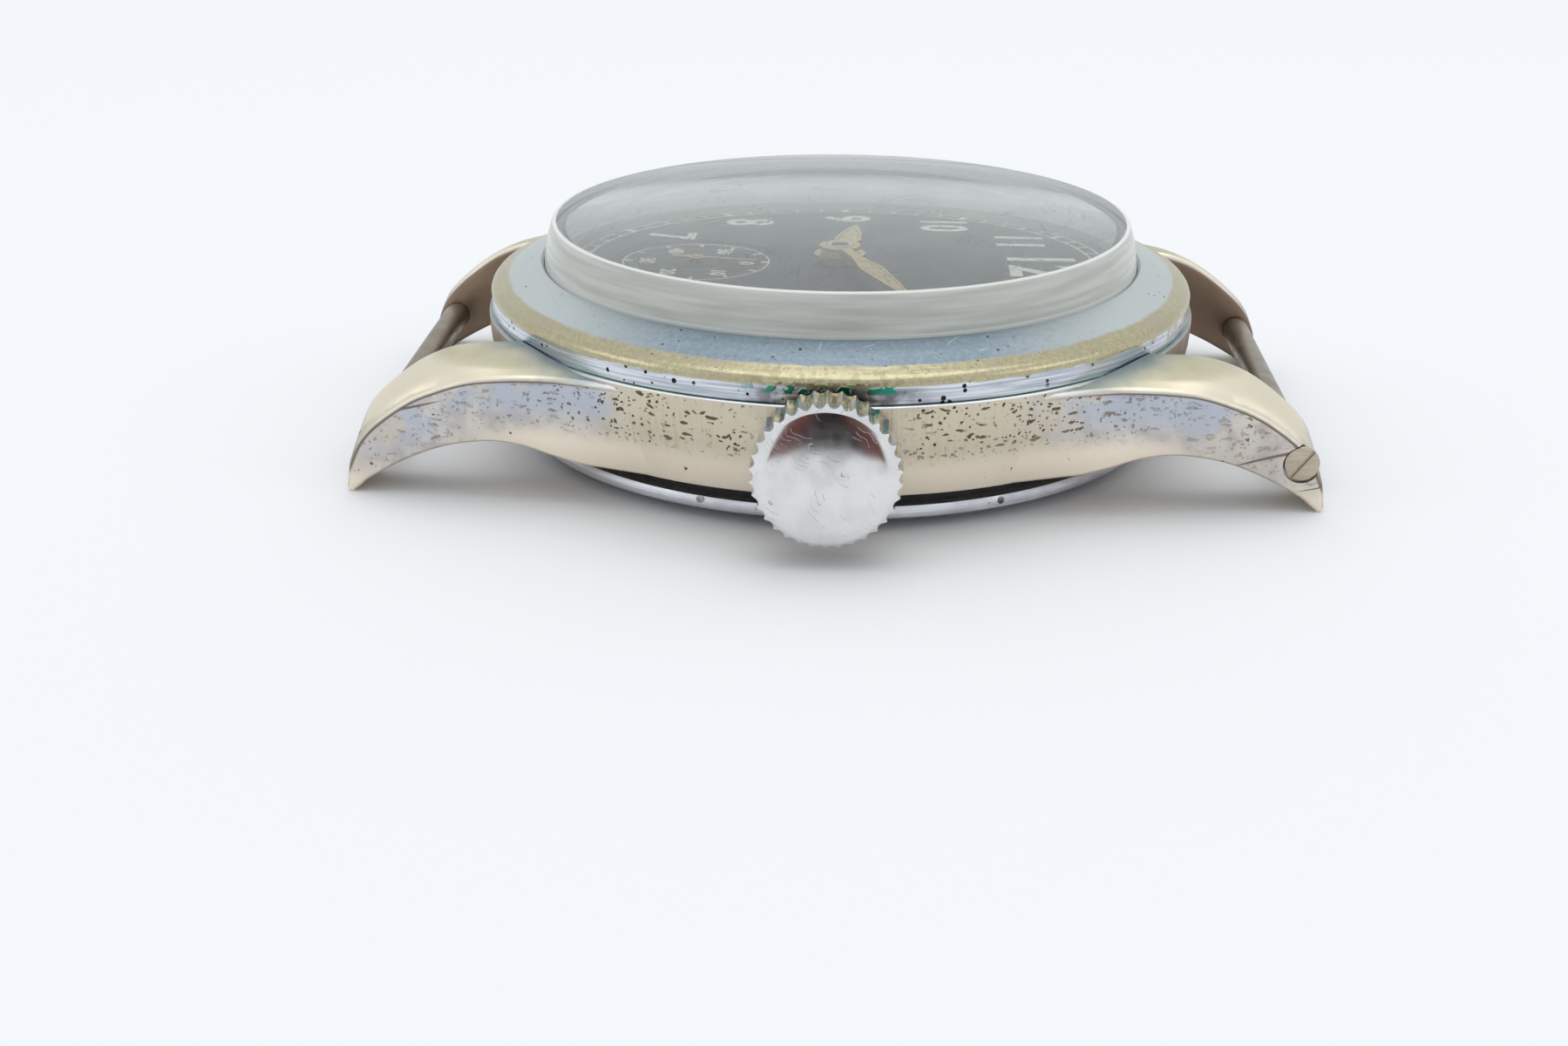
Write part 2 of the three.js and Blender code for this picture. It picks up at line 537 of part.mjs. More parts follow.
add(root, "mid_case", midCase(), PLATED);
add(root, "bezel", bezel(), WORN_BRASS);
add(root, "crystal", crystal(), ACRYLIC);
add(root, "case_back", caseBack(), STEEL);
add(root, "back_gasket", tube(BACK_BORE - 0.05, BACK_RIM_RADIUS - 0.2, BACK_RIM_TOP, CASE_BOTTOM, ROUND), RUBBER);
for (const [name, end] of [["strap_bar_12", 1], ["strap_bar_6", -1]]) {
  const bar = strapBar(end).translate([0, end * (LUG_REACH - BAR_INSET), BAR_HEIGHT]);
  add(root, name, bar, STEEL);
}

// ---------------------------------------------------------------- crown, stem and keyless work
// These pieces turn about the stem. They are made about Z and stood along X by one turned group.
const stemLine = new THREE.Group();
stemLine.position.z = STEM_Z;
stemLine.rotation.y = Math.PI / 2;
root.add(stemLine);
const TUBE_BORE = STEM_RADIUS + TUBE_BORE_CLEARANCE;
const TUBE_RADIUS = TUBE_BORE + TUBE_WALL;
const TUBE_END = CROWN_BACK + 0.35;
const CROWN_RECESS = TUBE_RADIUS + 0.1;
const RECESS_END = CROWN_BACK + 1.1;

function crown() {
  // a ridge, then a groove, all the way round
  const outline = Array.from({ length: CROWN_FLUTES * 2 }, (_, i) =>
    polar(CROWN_RADIUS - (i % 2) * CROWN_FLUTE_DEPTH, (i * 180) / CROWN_FLUTES));
  const body = plate(outline, CROWN_BACK, CROWN_FRONT - 0.12);
  const cap = disc(CROWN_RADIUS - CROWN_FLUTE_DEPTH - 0.1, CROWN_FRONT - 0.3, CROWN_FRONT, MIDDLE_ROUND);
  const recess = disc(CROWN_RECESS, CROWN_BACK - EPS, RECESS_END, MIDDLE_ROUND);
  const thread = disc(STEM_RADIUS + SEAT, RECESS_END - EPS, CROWN_FRONT - 0.6, MIDDLE_ROUND);
  return cut(join(body, cap), recess, thread);
}

const GROOVE_AT = MOVEMENT_RADIUS - 0.5; // the stem's groove for the setting lever
const GROOVE_HALF = LEVER_PIN_RADIUS + 0.1;
function windingStem() {
  const groove = STEM_RADIUS - 0.25;
  return turned([
    [0, STEM_END],
    [0.35, STEM_END],
    [0.35, STEM_END + 0.6],
    [0.45, STEM_END + 0.6],
    [0.45, WINDING_PINION_START - 0.1],
    [STEM_RADIUS, WINDING_PINION_START - 0.1],
    [STEM_RADIUS, GROOVE_AT - GROOVE_HALF],
    [groove, GROOVE_AT - GROOVE_HALF],
    [groove, GROOVE_AT + GROOVE_HALF],
    [STEM_RADIUS, GROOVE_AT + GROOVE_HALF],
    [STEM_RADIUS, CROWN_FRONT - 0.65],
    [0, CROWN_FRONT - 0.65],
  ], MIDDLE_ROUND);
}

function windingPinion() {
  const end = WINDING_PINION_START + WINDING_PINION_LENGTH;
  const outline = pinionOutline(WINDING_PINION, 0);
  const toothed = plate(outline, WINDING_PINION_START, end);
  return cut(toothed, disc(STEM_RADIUS + CLEAR, WINDING_PINION_START - EPS, end + EPS, MIDDLE_ROUND));
}

function slidingClutch() {
  const end = CLUTCH_START + CLUTCH_LENGTH;
  const grooveLow = CLUTCH_START + 0.5;
  const grooveHigh = grooveLow + 0.55;
  return turned([
    [0.5, CLUTCH_START],
    [CLUTCH_RADIUS, CLUTCH_START],
    [CLUTCH_RADIUS, grooveLow],
    [CLUTCH_RADIUS - CLUTCH_GROOVE_DEPTH, grooveLow],
    [CLUTCH_RADIUS - CLUTCH_GROOVE_DEPTH, grooveHigh],
    [CLUTCH_RADIUS, grooveHigh],
    [CLUTCH_RADIUS, end],
    [0.5, end],
  ], MIDDLE_ROUND);
}

add(stemLine, "crown", crown(), POLISHED);
add(stemLine, "winding_stem", windingStem(), STEEL);
add(stemLine, "winding_pinion", windingPinion(), STEEL);
add(stemLine, "sliding_clutch", slidingClutch(), STEEL);
add(stemLine, "crown_gasket", tube(STEM_RADIUS + SEAT, CROWN_RECESS - SEAT, RECESS_END - 0.3, RECESS_END, MIDDLE_ROUND), RUBBER);
add(stemLine, "crown_tube", tube(TUBE_BORE, TUBE_RADIUS, CASE_BORE + 0.15, TUBE_END, MIDDLE_ROUND), STEEL);

// The setting lever's pin rides in the stem's groove, and the yoke's tip in the clutch's.
const LEVER_LOW = STEM_Z + CLUTCH_RADIUS - CLUTCH_GROOVE_DEPTH;
const LEVER_HIGH = LEVER_LOW + LEVER_THICKNESS;
const LEVER_PIVOT = [GROOVE_AT - 0.5, -3.6];
const YOKE_TIP = [CLUTCH_START + 0.775, -0.4];
const YOKE_PIVOT = [YOKE_TIP[0] - 0.83, -3.9];
function settingLever() {
  const arm = plate(capsule([0, 0], minus([GROOVE_AT, -0.1], LEVER_PIVOT), LEVER_WIDTH / 2), LEVER_LOW, LEVER_HIGH);
  const pin = moved(disc(LEVER_PIN_RADIUS, STEM_Z + STEM_RADIUS - 0.2, LEVER_HIGH), ...minus([GROOVE_AT, 0], LEVER_PIVOT));
  return join(arm, pin, disc(SCREW_RADIUS, LEVER_HIGH - CLEAR, PLATE_BOTTOM + 0.5));
}

function yoke() {
  const tip = minus(YOKE_TIP, YOKE_PIVOT);
  const neck = [tip[0], tip[1] - 0.9];
  const arm = plate(capsule([0, 0], neck, LEVER_WIDTH / 2), LEVER_LOW, LEVER_HIGH);
  const finger = plate(capsule(neck, [tip[0], tip[1] - 0.16], 0.16), LEVER_LOW, LEVER_HIGH);
  return join(arm, finger, disc(SCREW_RADIUS, LEVER_HIGH - CLEAR, PLATE_BOTTOM + 0.5));
}

add(movement, "setting_lever", settingLever(), STEEL, LEVER_PIVOT);
add(movement, "yoke", yoke(), STEEL, YOKE_PIVOT);

// ---------------------------------------------------------------- going train
const CENTRE_WHEEL_Z = [PLATE_BOTTOM - 0.3, PLATE_BOTTOM - 0.15];
const THIRD_WHEEL_Z = [BRIDGE_TOP + 0.3, BRIDGE_TOP + 0.45];
const FOURTH_WHEEL_Z = [BRIDGE_TOP + 0.75, BRIDGE_TOP + 0.9];
const ESCAPE_WHEEL_Z = [BRIDGE_TOP + 1.2, BRIDGE_TOP + 1.35];
const BARREL_Z = [BRIDGE_TOP + 0.1, PLATE_BOTTOM - 0.5];
const BARREL_TEETH_HEIGHT = 0.35;
const BARREL_WALL = 0.3;
const barrelOuter = pitchRadius(BARREL) - 1.9 * BARREL.module;
const barrelInner = barrelOuter - BARREL_WALL;
const pinionRange = ([low, high]) => [low - 0.1, high + 0.1];

// An arbor with its pivots in the bridge and in the plate.
function arbor(radius, low = BRIDGE_TOP + CLEAR, high = PLATE_BOTTOM - CLEAR) {
  return join(
    disc(radius, low, high, PIVOT_ROUND),
    disc(PIVOT, BRIDGE_BOTTOM + 0.1, PIVOT_TOP, PIVOT_ROUND),
  );
}

const barrelPhase = 0;
const centrePinionPhase = meshed(barrelPhase, BARREL.teeth, CENTRE_PINION.teeth, heading(BARREL_AT, CENTRE));
const thirdPinionPhase = meshed(0, CENTRE_WHEEL.teeth, THIRD_PINION.teeth, heading(CENTRE, THIRD_AT));
const fourthPinionPhase = meshed(0, THIRD_WHEEL.teeth, FOURTH_PINION.teeth, heading(THIRD_AT, FOURTH_AT));
const escapePinionPhase = meshed(0, FOURTH_WHEEL.teeth, ESCAPE_PINION.teeth, heading(FOURTH_AT, ESCAPE_AT));

function barrelDrum() {
  const [low, high] = BARREL_Z;
  const outline = wheelOutline(BARREL, barrelPhase);
  const toothed = plate(outline, low, low + BARREL_TEETH_HEIGHT);
  const wall = disc(barrelOuter, low + 0.1, high - 0.1, ROUND);
  return cut(join(toothed, wall), disc(barrelInner, low + 0.2, high, ROUND), disc(0.65, low - EPS, low + EPS));
}

// A flat spiral ribbon of the given turns between two radii.
function spiral(inner, outer, turns, thickness, low, high) {
  const steps = Math.round(turns * 10);
  const side = (offset) =>
    Array.from({ length: steps + 1 }, (_, i) =>
      polar(inner + ((outer - inner) * i) / steps + offset, (360 * turns * i) / steps),
    );
  return plate([...side(thickness / 2), ...side(-thickness / 2).reverse()], low, high);
}

function barrelArbor() {
  const [low, high] = BARREL_Z;
  const square = box([-0.4, -0.4, WHEEL_BOTTOM], [0.4, 0.4, BRIDGE_BOTTOM + 0.2]);
  const body = join(
    square,
    disc(0.58, BRIDGE_BOTTOM + 0.1, high + CLEAR),
    disc(1.2, low + 0.25, high - 0.15, MIDDLE_ROUND),
    disc(0.35, high, PLATE_TOP - 0.35),
  );
  return cut(body, disc(0.2 + SEAT, WHEEL_BOTTOM - EPS, BRIDGE_BOTTOM + 0.3, PIVOT_ROUND));
}

function trainWheel(wheel, wheelZ, pinion, pinionZ, pinionPhase, shaft, spokes = 4) {
  return join(
    spokedWheel(wheel, 0, wheelZ[0], wheelZ[1], 0.8, spokes),
    plate(pinionOutline(pinion, pinionPhase), pinionZ[0], pinionZ[1]),
    disc(0.3, Math.min(wheelZ[0], pinionZ[0]), Math.max(wheelZ[1], pinionZ[1]), PIVOT_ROUND),
    shaft,
  );
}

const CENTRE_ARBOR = 0.4;
const CANNON_TOP = DIAL_TOP + 0.9;
function centreWheel() {
  const shaft = join(
    disc(CENTRE_ARBOR, BRIDGE_BOTTOM + 0.1, CANNON_TOP - 0.25, SMALL_ROUND),
    disc(0.55, BRIDGE_TOP + CLEAR, PLATE_BOTTOM - CLEAR),
  );
  const pinionZ = [BRIDGE_TOP + CLEAR, CENTRE_WHEEL_Z[0] - 0.05];
  const body = trainWheel(CENTRE_WHEEL, CENTRE_WHEEL_Z, CENTRE_PINION, pinionZ, centrePinionPhase, shaft);
  return join(body, disc(0.55, pinionZ[1] - CLEAR, CENTRE_WHEEL_Z[1]));
}

const SECONDS_PIVOT = 0.15;
function fourthWheel() {
  const shaft = join(arbor(0.25), disc(SECONDS_PIVOT, PIVOT_TOP - 0.1, DIAL_TOP + 0.2, PIVOT_ROUND));
  return trainWheel(FOURTH_WHEEL, FOURTH_WHEEL_Z, FOURTH_PINION, pinionRange(THIRD_WHEEL_Z), fourthPinionPhase, shaft);
}

// Fifteen pointed teeth that lean forwards, with the gaps turned towards the two pallets.
function escapeWheel() {
  const pitch = 360 / ESCAPE_TEETH;
  const first = ESCAPE_HEADING + pitch / 2;
  const outline = Array.from({ length: ESCAPE_TEETH }, (_, i) => first + i * pitch).flatMap((angle) => [
    polar(ESCAPE_RADIUS * 0.76, angle - pitch * 0.36),
    polar(ESCAPE_RADIUS, angle - 1),
    polar(ESCAPE_RADIUS, angle + 1),
    polar(ESCAPE_RADIUS * 0.76, angle + pitch * 0.3),
  ]);
  const [low, high] = ESCAPE_WHEEL_Z;
  const blank = plate(outline, low, high);
  const opening = tube(0.7, ESCAPE_RADIUS * 0.62, low - EPS, high + EPS, MIDDLE_ROUND);
  const arms = [0, 90].map((angle) => box([-3, -0.2, low - 1], [3, 0.2, high + 1]).rotate([0, 0, angle]));
  return join(
    cut(blank, cut(opening, ...arms)),
    plate(pinionOutline(ESCAPE_PINION, escapePinionPhase), ...pinionRange(FOURTH_WHEEL_Z)),
    disc(0.2, FOURTH_WHEEL_Z[0], high, PIVOT_ROUND),
    arbor(0.18),
  );
}

add(movement, "barrel_drum", barrelDrum(), GILT, BARREL_AT);
add(movement, "barrel_lid", tube(0.65, barrelOuter, BARREL_Z[1] - 0.1, BARREL_Z[1], ROUND), GILT, BARREL_AT);
add(movement, "barrel_arbor", barrelArbor(), STEEL, BARREL_AT);
const springZ = [BARREL_Z[0] + 0.25, BARREL_Z[1] - 0.15];
add(movement, "mainspring", spiral(1.5, barrelInner - 0.15, 5, 0.12, ...springZ), BLUED, BARREL_AT);
add(movement, "centre_wheel", centreWheel(), GILT, CENTRE);
const thirdPinionZ = [CENTRE_WHEEL_Z[0] - 0.1, PLATE_BOTTOM - CLEAR];
const thirdWheel = trainWheel(THIRD_WHEEL, THIRD_WHEEL_Z, THIRD_PINION, thirdPinionZ, thirdPinionPhase, arbor(0.2));
add(movement, "third_wheel", thirdWheel, GILT, THIRD_AT);
add(movement, "fourth_wheel", fourthWheel(), GILT, FOURTH_AT);
add(movement, "escape_wheel", escapeWheel(), STEEL, ESCAPE_AT);

// ---------------------------------------------------------------- escapement and balance
const PALLET_SPREAD = 30; // degrees from the line of centres to a pallet, seen from the escape wheel
const PIN_ORBIT = 0.75;
const PIN_RADIUS = 0.12;
const STAFF_RADIUS = 0.25;
function palletFork() {
  const [low, high] = ESCAPE_WHEEL_Z;
  const stone = (side) => {
    const inner = polar(ESCAPE_RADIUS + CLEAR, side * PALLET_SPREAD);
    const outer = polar(ESCAPE_RADIUS + 0.75, side * PALLET_SPREAD);
    return [minus(inner, [PALLET_DISTANCE, 0]), minus(outer, [PALLET_DISTANCE, 0])];
  };
  const arms = [1, -1].map((side) => {
    const [inner, outer] = stone(side);
    const shift = polar(0.14, heading(inner, outer) + 90);
    const jewel = plate([plus(inner, shift), minus(inner, shift), minus(outer, shift), plus(outer, shift)], low, high);
    return join(plate(capsule([0, 0], outer, 0.22), low, high), jewel);
  });
  const reach = distance(PALLET_AT, BALANCE_PLACE) - PIN_ORBIT - PIN_RADIUS - 0.1;
  const lever = plate(capsule([0, 0], [reach - 0.5, 0], 0.16), low, high);
  const prongs = [1, -1].map((side) =>
    plate(capsule([reach - 0.55, 0], [reach - 0.1, side * 0.28], 0.1), low, high));
  const shaft = join(disc(0.18, BRIDGE_TOP + 1.1, PLATE_BOTTOM - CLEAR, PIVOT_ROUND), disc(0.12, BRIDGE_TOP + 0.8, PLATE_TOP - 0.35, PIVOT_ROUND));
  return join(...arms, lever, ...prongs, shaft).rotate([0, 0, ESCAPE_HEADING]);
}

const BALANCE_Z = [BRIDGE_TOP + 0.3, BRIDGE_TOP + 0.6];
function balanceWheel() {
  const [low, high] = BALANCE_Z;
  const arm = box([-BALANCE_RADIUS + 0.2, -0.25, low + 0.08], [BALANCE_RADIUS - 0.2, 0.25, high - 0.08]);
  const pin = moved(disc(PIN_RADIUS, BRIDGE_TOP + 0.9, ESCAPE_WHEEL_Z[1], PIVOT_ROUND), ...polar(PIN_ORBIT, ESCAPE_HEADING + 180));
  return join(
    tube(BALANCE_RADIUS - 0.4, BALANCE_RADIUS, low, high, 40),
    arm,
    disc(STAFF_RADIUS, BRIDGE_TOP + CLEAR, PLATE_BOTTOM - CLEAR, PIVOT_ROUND),
    disc(0.12, BRIDGE_BOTTOM + 0.1, PLATE_TOP - 0.35, PIVOT_ROUND),
    disc(0.95, BRIDGE_TOP + 0.82, BRIDGE_TOP + 0.98, MIDDLE_ROUND),
    pin,
  );
}

function palletCock() {
  const along = PALLET_COCK_REACH;
  const [low, high] = [BRIDGE_TOP + 0.75, BRIDGE_TOP + 1.05];
  const posts = [along, -along].map((y) => moved(disc(0.5, high - 0.1, PLATE_BOTTOM), 0, y));
  const bar = plate(capsule([0, -along], [0, along], 0.5), low, high, [[0, 0, 0.12 + CLEAR]]);
  const holes = [along, -along].map((y) => moved(disc(0.22, low - EPS, PLATE_BOTTOM + EPS), 0, y));
  return cut(join(bar, ...posts), ...holes).rotate([0, 0, ESCAPE_HEADING]);
}
const palletScrewPlaces = [PALLET_COCK_REACH, -PALLET_COCK_REACH].map((y) =>
  plus(PALLET_AT, [-y * Math.sin(ESCAPE_HEADING * DEGREE), y * Math.cos(ESCAPE_HEADING * DEGREE)]),
);

add(movement, "pallet_fork", palletFork(), STEEL, PALLET_AT);
add(movement, "pallet_cock", palletCock(), NICKEL, PALLET_AT);
add(movement, "balance_wheel", balanceWheel(), GILT, BALANCE_PLACE);
const hairspringZ = [BRIDGE_TOP + 0.08, BRIDGE_TOP + 0.22];
add(movement, "hairspring", spiral(0.5, 2.3, 5, 0.08, ...hairspringZ), BLUED, BALANCE_PLACE);
palletScrewPlaces.forEach((place, i) =>
  add(movement, `pallet_cock_screw_${i + 1}`, screw(0.4, 0.15, 0.17, BRIDGE_TOP + 0.6, PLATE_BOTTOM + 0.4), BLUED, place),
);

// ---------------------------------------------------------------- plates and bridges
const POST_INSET = 1.6; // from the movement's edge to a post's axis
const BARREL_BRIDGE_POSTS = [20, 118, 165].map((angle) => polar(MOVEMENT_RADIUS - POST_INSET, angle));
const TRAIN_BRIDGE_POSTS = [[8.2, -6.2], [3.6, -11.0], [-5.9, -10.3]];
const COCK_POST = [-9.3, -7.2];

const ratchetTip = pitchRadius(RATCHET) + 0.7 * WINDING_WHEEL_MODULE;
const CLICK_STUD = 0.25;
const CLICK_TIP = plus(BARREL_AT, polar(ratchetTip + CLEAR, 160));
const CLICK_PIVOT = plus(BARREL_AT, polar(ratchetTip + 1.3, 175));

// A point on the movement's edge, in from its rim.
const edge = (degrees, inset = 0.35) => polar(MOVEMENT_RADIUS - inset, degrees);
const arc = (from, to, steps) =>
  Array.from({ length: steps + 1 }, (_, i) => edge(from + ((to - from) * i) / steps));

// A bridge is a flat plate on round posts, with holes for pivots and screws.
function bridge(outline, posts, pivots) {
  const flat = plate(outline, BRIDGE_BOTTOM, BRIDGE_TOP, pivots);
  const feet = posts.map(([x, y]) => moved(disc(POST_RADIUS, BRIDGE_TOP - 0.1, PLATE_BOTTOM), x, y));
  const holes = posts.map(([x, y]) =>
    moved(disc(SCREW_RADIUS + CLEAR, BRIDGE_BOTTOM - EPS, PLATE_BOTTOM + EPS), x, y));
  return cut(join(flat, ...feet), ...holes);
}

function barrelBridge() {
  const outline = [...arc(-16, 172, 20), [-6, 1.2], [4.4, 1.2], [5.4, -3.4]];
  const boss = moved(disc(1.0, WHEEL_BOTTOM, BRIDGE_BOTTOM + 0.1, MIDDLE_ROUND), ...CROWN_WHEEL_AT);
  const flat = bridge(outline, BARREL_BRIDGE_POSTS, [[...BARREL_AT, 0.65], [...CLICK_PIVOT, CLICK_STUD + CLEAR]]);
  const pinionReach = pitchRadius(WINDING_PINION) + WINDING_MODULE;
  const pinionRoom = box(
    [WINDING_PINION_START - 0.25, -pinionReach - 0.1, BRIDGE_BOTTOM - EPS],
    [WINDING_PINION_START + WINDING_PINION_LENGTH + 0.2, pinionReach + 0.1, BRIDGE_TOP + EPS],
  );
  const clutchRoom = box(
    [CLUTCH_START - STEM_TRAVEL - 0.2, -CLUTCH_RADIUS - 0.1, STEM_Z - CLUTCH_RADIUS - 0.05],
    [WINDING_PINION_START, CLUTCH_RADIUS + 0.1, BRIDGE_TOP + EPS],
  );
  const faceRoom = moved(
    tube(FACE_RADIUS - 0.35, FACE_RADIUS + 0.3, BRIDGE_BOTTOM - EPS, BRIDGE_BOTTOM + 0.35, MIDDLE_ROUND),
    ...CROWN_WHEEL_AT,
  );
  const screwHole = moved(disc(SCREW_RADIUS + SEAT, WHEEL_BOTTOM - EPS, BRIDGE_BOTTOM + 0.3), ...CROWN_WHEEL_AT);
  return cut(join(flat, boss), pinionRoom, clutchRoom, faceRoom, screwHole);
}

function trainBridge() {
  const outline = [[-1.6, 0.9], [3.9, 0.9], [5.2, -3.8], ...arc(-28, -122, 10), [-5.2, -6.6], [-1.9, -4.6]];
  const pivots = [[...CENTRE, CENTRE_ARBOR + CLEAR], ...[THIRD_AT, FOURTH_AT, ESCAPE_AT].map((at) => [...at, PIVOT + CLEAR])];
  return bridge(outline, TRAIN_BRIDGE_POSTS, pivots);
}

function balanceCock() {
  const outline = capsule(COCK_POST, BALANCE_PLACE, 1.3, 8);
  return bridge(outline, [COCK_POST], [[...BALANCE_PLACE, 0.12 + CLEAR]]);
}

const SCREW_PLACES = {
  barrel_bridge_screw: BARREL_BRIDGE_POSTS,
  train_bridge_screw: TRAIN_BRIDGE_POSTS,
  balance_cock_screw: [COCK_POST],
};

function mainPlate() {
  const slab = disc(MOVEMENT_RADIUS, PLATE_BOTTOM, PLATE_TOP, ROUND);
  const rim = tube(MOVEMENT_RADIUS - 1.0, MOVEMENT_RADIUS, PLATE_TOP - 0.1, DIAL_BOTTOM, ROUND);
  const through = (radius, [x, y]) => moved(disc(radius, PLATE_BOTTOM - EPS, PLATE_TOP + EPS), x, y);
  const pocket = (radius, [x, y]) => moved(disc(radius, POCKET_FLOOR, PLATE_TOP + EPS, MIDDLE_ROUND), x, y);
  const screws = [...Object.values(SCREW_PLACES).flat(), LEVER_PIVOT, YOKE_PIVOT];
  const stemRoom = box(
    [CLUTCH_START - STEM_TRAVEL - 0.2, -1.5, PLATE_BOTTOM - EPS],
    [MOVEMENT_RADIUS + EPS, 1.5, STEM_Z + pitchRadius(WINDING_PINION) + WINDING_MODULE],
  );
  return cut(
    join(slab, rim),
    through(CENTRE_ARBOR + CLEAR, CENTRE),
    ...[THIRD_AT, FOURTH_AT, ESCAPE_AT].map((at) => through(PIVOT + CLEAR, at)),
    ...[PALLET_AT, BALANCE_PLACE].map((at) => through(0.12 + CLEAR, at)),
    through(0.35 + CLEAR, BARREL_AT),
    ...screws.map((at) => through(SCREW_RADIUS + CLEAR, at)),
    ...palletScrewPlaces.map((at) => through(0.17 + CLEAR, at)),
    ...[MINUTE_AT, SETTING_AT].map((at) => through(PIVOT + CLEAR, at)),
    pocket(pitchRadius(CANNON) + 0.35, CENTRE),
    pocket(pitchRadius(MINUTE_WHEEL) + 0.25, MINUTE_AT),
    pocket(pitchRadius(SETTING_WHEEL) + 0.25, SETTING_AT),
    stemRoom,
  );
}

add(movement, "main_plate", mainPlate(), NICKEL);
add(movement, "barrel_bridge", barrelBridge(), NICKEL);
add(movement, "train_bridge", trainBridge(), NICKEL);
add(movement, "balance_cock", balanceCock(), NICKEL);
for (const [name, places] of Object.entries(SCREW_PLACES)) {
  places.forEach((place, i) => {
    const body = screw(SCREW_HEAD_RADIUS, SCREW_HEAD, SCREW_RADIUS, BRIDGE_BOTTOM - SCREW_HEAD, PLATE_BOTTOM + 0.5);
    add(movement, places.length > 1 ? `${name}_${i + 1}` : name, body, BLUED, place);
  });
}

// the ring between movement and case, with a gap for the stem
const RING_Z = [BRIDGE_TOP, DIAL_BOTTOM];
const ringGap = box([0, -LEVER_ROOM, BRIDGE_TOP - EPS], [CASE_RADIUS, 1.6, PLATE_BOTTOM + 0.2]);
add(root, "movement_ring", cut(tube(MOVEMENT_RADIUS + CLEAR, RING_OUTER, ...RING_Z, ROUND), ringGap), NICKEL);

// ---------------------------------------------------------------- winding wheels
const crownWheelPhase = 0;
const ratchetPhase = meshed(crownWheelPhase, CROWN_WHEEL_TEETH, RATCHET_TEETH, heading(CROWN_WHEEL_AT, BARREL_AT));
function crownWheel() {
  const flat = plate(wheelOutline(CROWN_WHEEL, crownWheelPhase), WHEEL_BOTTOM, WHEEL_TOP, [[0, 0, 1.0 + CLEAR]]);
  const pitch = 360 / CROWN_FACE_TEETH;
  const toothTop = STEM_Z - pitchRadius(WINDING_PINION) + 0.45 * WINDING_MODULE;
  // upright teeth stand under the winding pinion, and its leaves drop between them
  const upright = Array.from({ length: CROWN_FACE_TEETH }, (_, i) => {
    const tooth = box([FACE_RADIUS - 0.2, -0.09, WHEEL_TOP - 0.1], [FACE_RADIUS + 0.12, 0.09, toothTop]);
    return tooth.rotate([0, 0, (i + 0.5) * pitch]);
  });
  return join(flat, ...upright);
}

function ratchetWheel() {
  const flat = plate(wheelOutline(RATCHET, ratchetPhase), WHEEL_BOTTOM, WHEEL_TOP);
  return cut(flat, box([-0.4 - SEAT, -0.4 - SEAT, WHEEL_BOTTOM - EPS], [0.4 + SEAT, 0.4 + SEAT, WHEEL_TOP + EPS]));
}

add(movement, "crown_wheel", crownWheel(), STEEL, CROWN_WHEEL_AT);
add(movement, "ratchet_wheel", ratchetWheel(), STEEL, BARREL_AT);
add(movement, "crown_wheel_screw", screw(1.4, SCREW_HEAD, SCREW_RADIUS, WHEEL_BOTTOM - SCREW_HEAD, BRIDGE_BOTTOM + 0.2), BLUED, CROWN_WHEEL_AT);
add(movement, "ratchet_screw", screw(1.2, SCREW_HEAD, 0.2, WHEEL_BOTTOM - SCREW_HEAD, BRIDGE_BOTTOM + 0.2), BLUED, BARREL_AT);

// the click stands just off the ratchet's teeth, on its own stud, with a wire spring behind it
function click() {
  const tip = minus(CLICK_TIP, CLICK_PIVOT);
  const back = polar(0.55, heading(BARREL_AT, CLICK_TIP));
  const side = polar(0.35, heading(BARREL_AT, CLICK_TIP) - 90);
  const beak = plate([tip, plus(tip, plus(back, side)), plus(plus(tip, back), minus([0, 0], side))], WHEEL_BOTTOM, WHEEL_TOP);
  return join(
    plate(capsule([0, 0], plus(tip, back), 0.3), WHEEL_BOTTOM, WHEEL_TOP),
    beak,
    disc(0.5, WHEEL_BOTTOM, WHEEL_TOP),
    disc(CLICK_STUD, WHEEL_TOP - CLEAR, BRIDGE_BOTTOM + 0.35),
  );
}
add(movement, "click", click(), STEEL, CLICK_PIVOT);

// ---------------------------------------------------------------- motion work, dial and hands
const MINUTE_WHEEL_Z = [POCKET_FLOOR + 0.05, PLATE_TOP - 0.2];
const HOUR_WHEEL_Z = [PLATE_TOP + 0.05, PLATE_TOP + 0.3];
const cannonPhase = meshed(0, MINUTE_WHEEL.teeth, CANNON.teeth, heading(MINUTE_AT, CENTRE));
const settingPhase = meshed(0, MINUTE_WHEEL.teeth, SETTING_WHEEL.teeth, heading(MINUTE_AT, SETTING_AT));
const hourPhase = meshed(0, MINUTE_PINION_TEETH, HOUR_WHEEL_TEETH, heading(MINUTE_AT, CENTRE));
const CANNON_BORE = CENTRE_ARBOR + SEAT;
const CANNON_RADIUS = CANNON_BORE + 0.2;
const HOUR_BORE = CANNON_RADIUS + CLEAR;
const HOUR_TUBE = HOUR_BORE + 0.25;
const HOUR_TOP = DIAL_TOP + 0.5;

function cannonPinion() {
  const leaves = plate(pinionOutline(CANNON, cannonPhase), POCKET_FLOOR + 0.05, PLATE_TOP - 0.05);
  const barrel = disc(CANNON_RADIUS, POCKET_FLOOR + 0.05, CANNON_TOP, MIDDLE_ROUND);
  return cut(join(leaves, barrel), disc(CANNON_BORE, 0, CANNON_TOP + EPS, MIDDLE_ROUND));
}

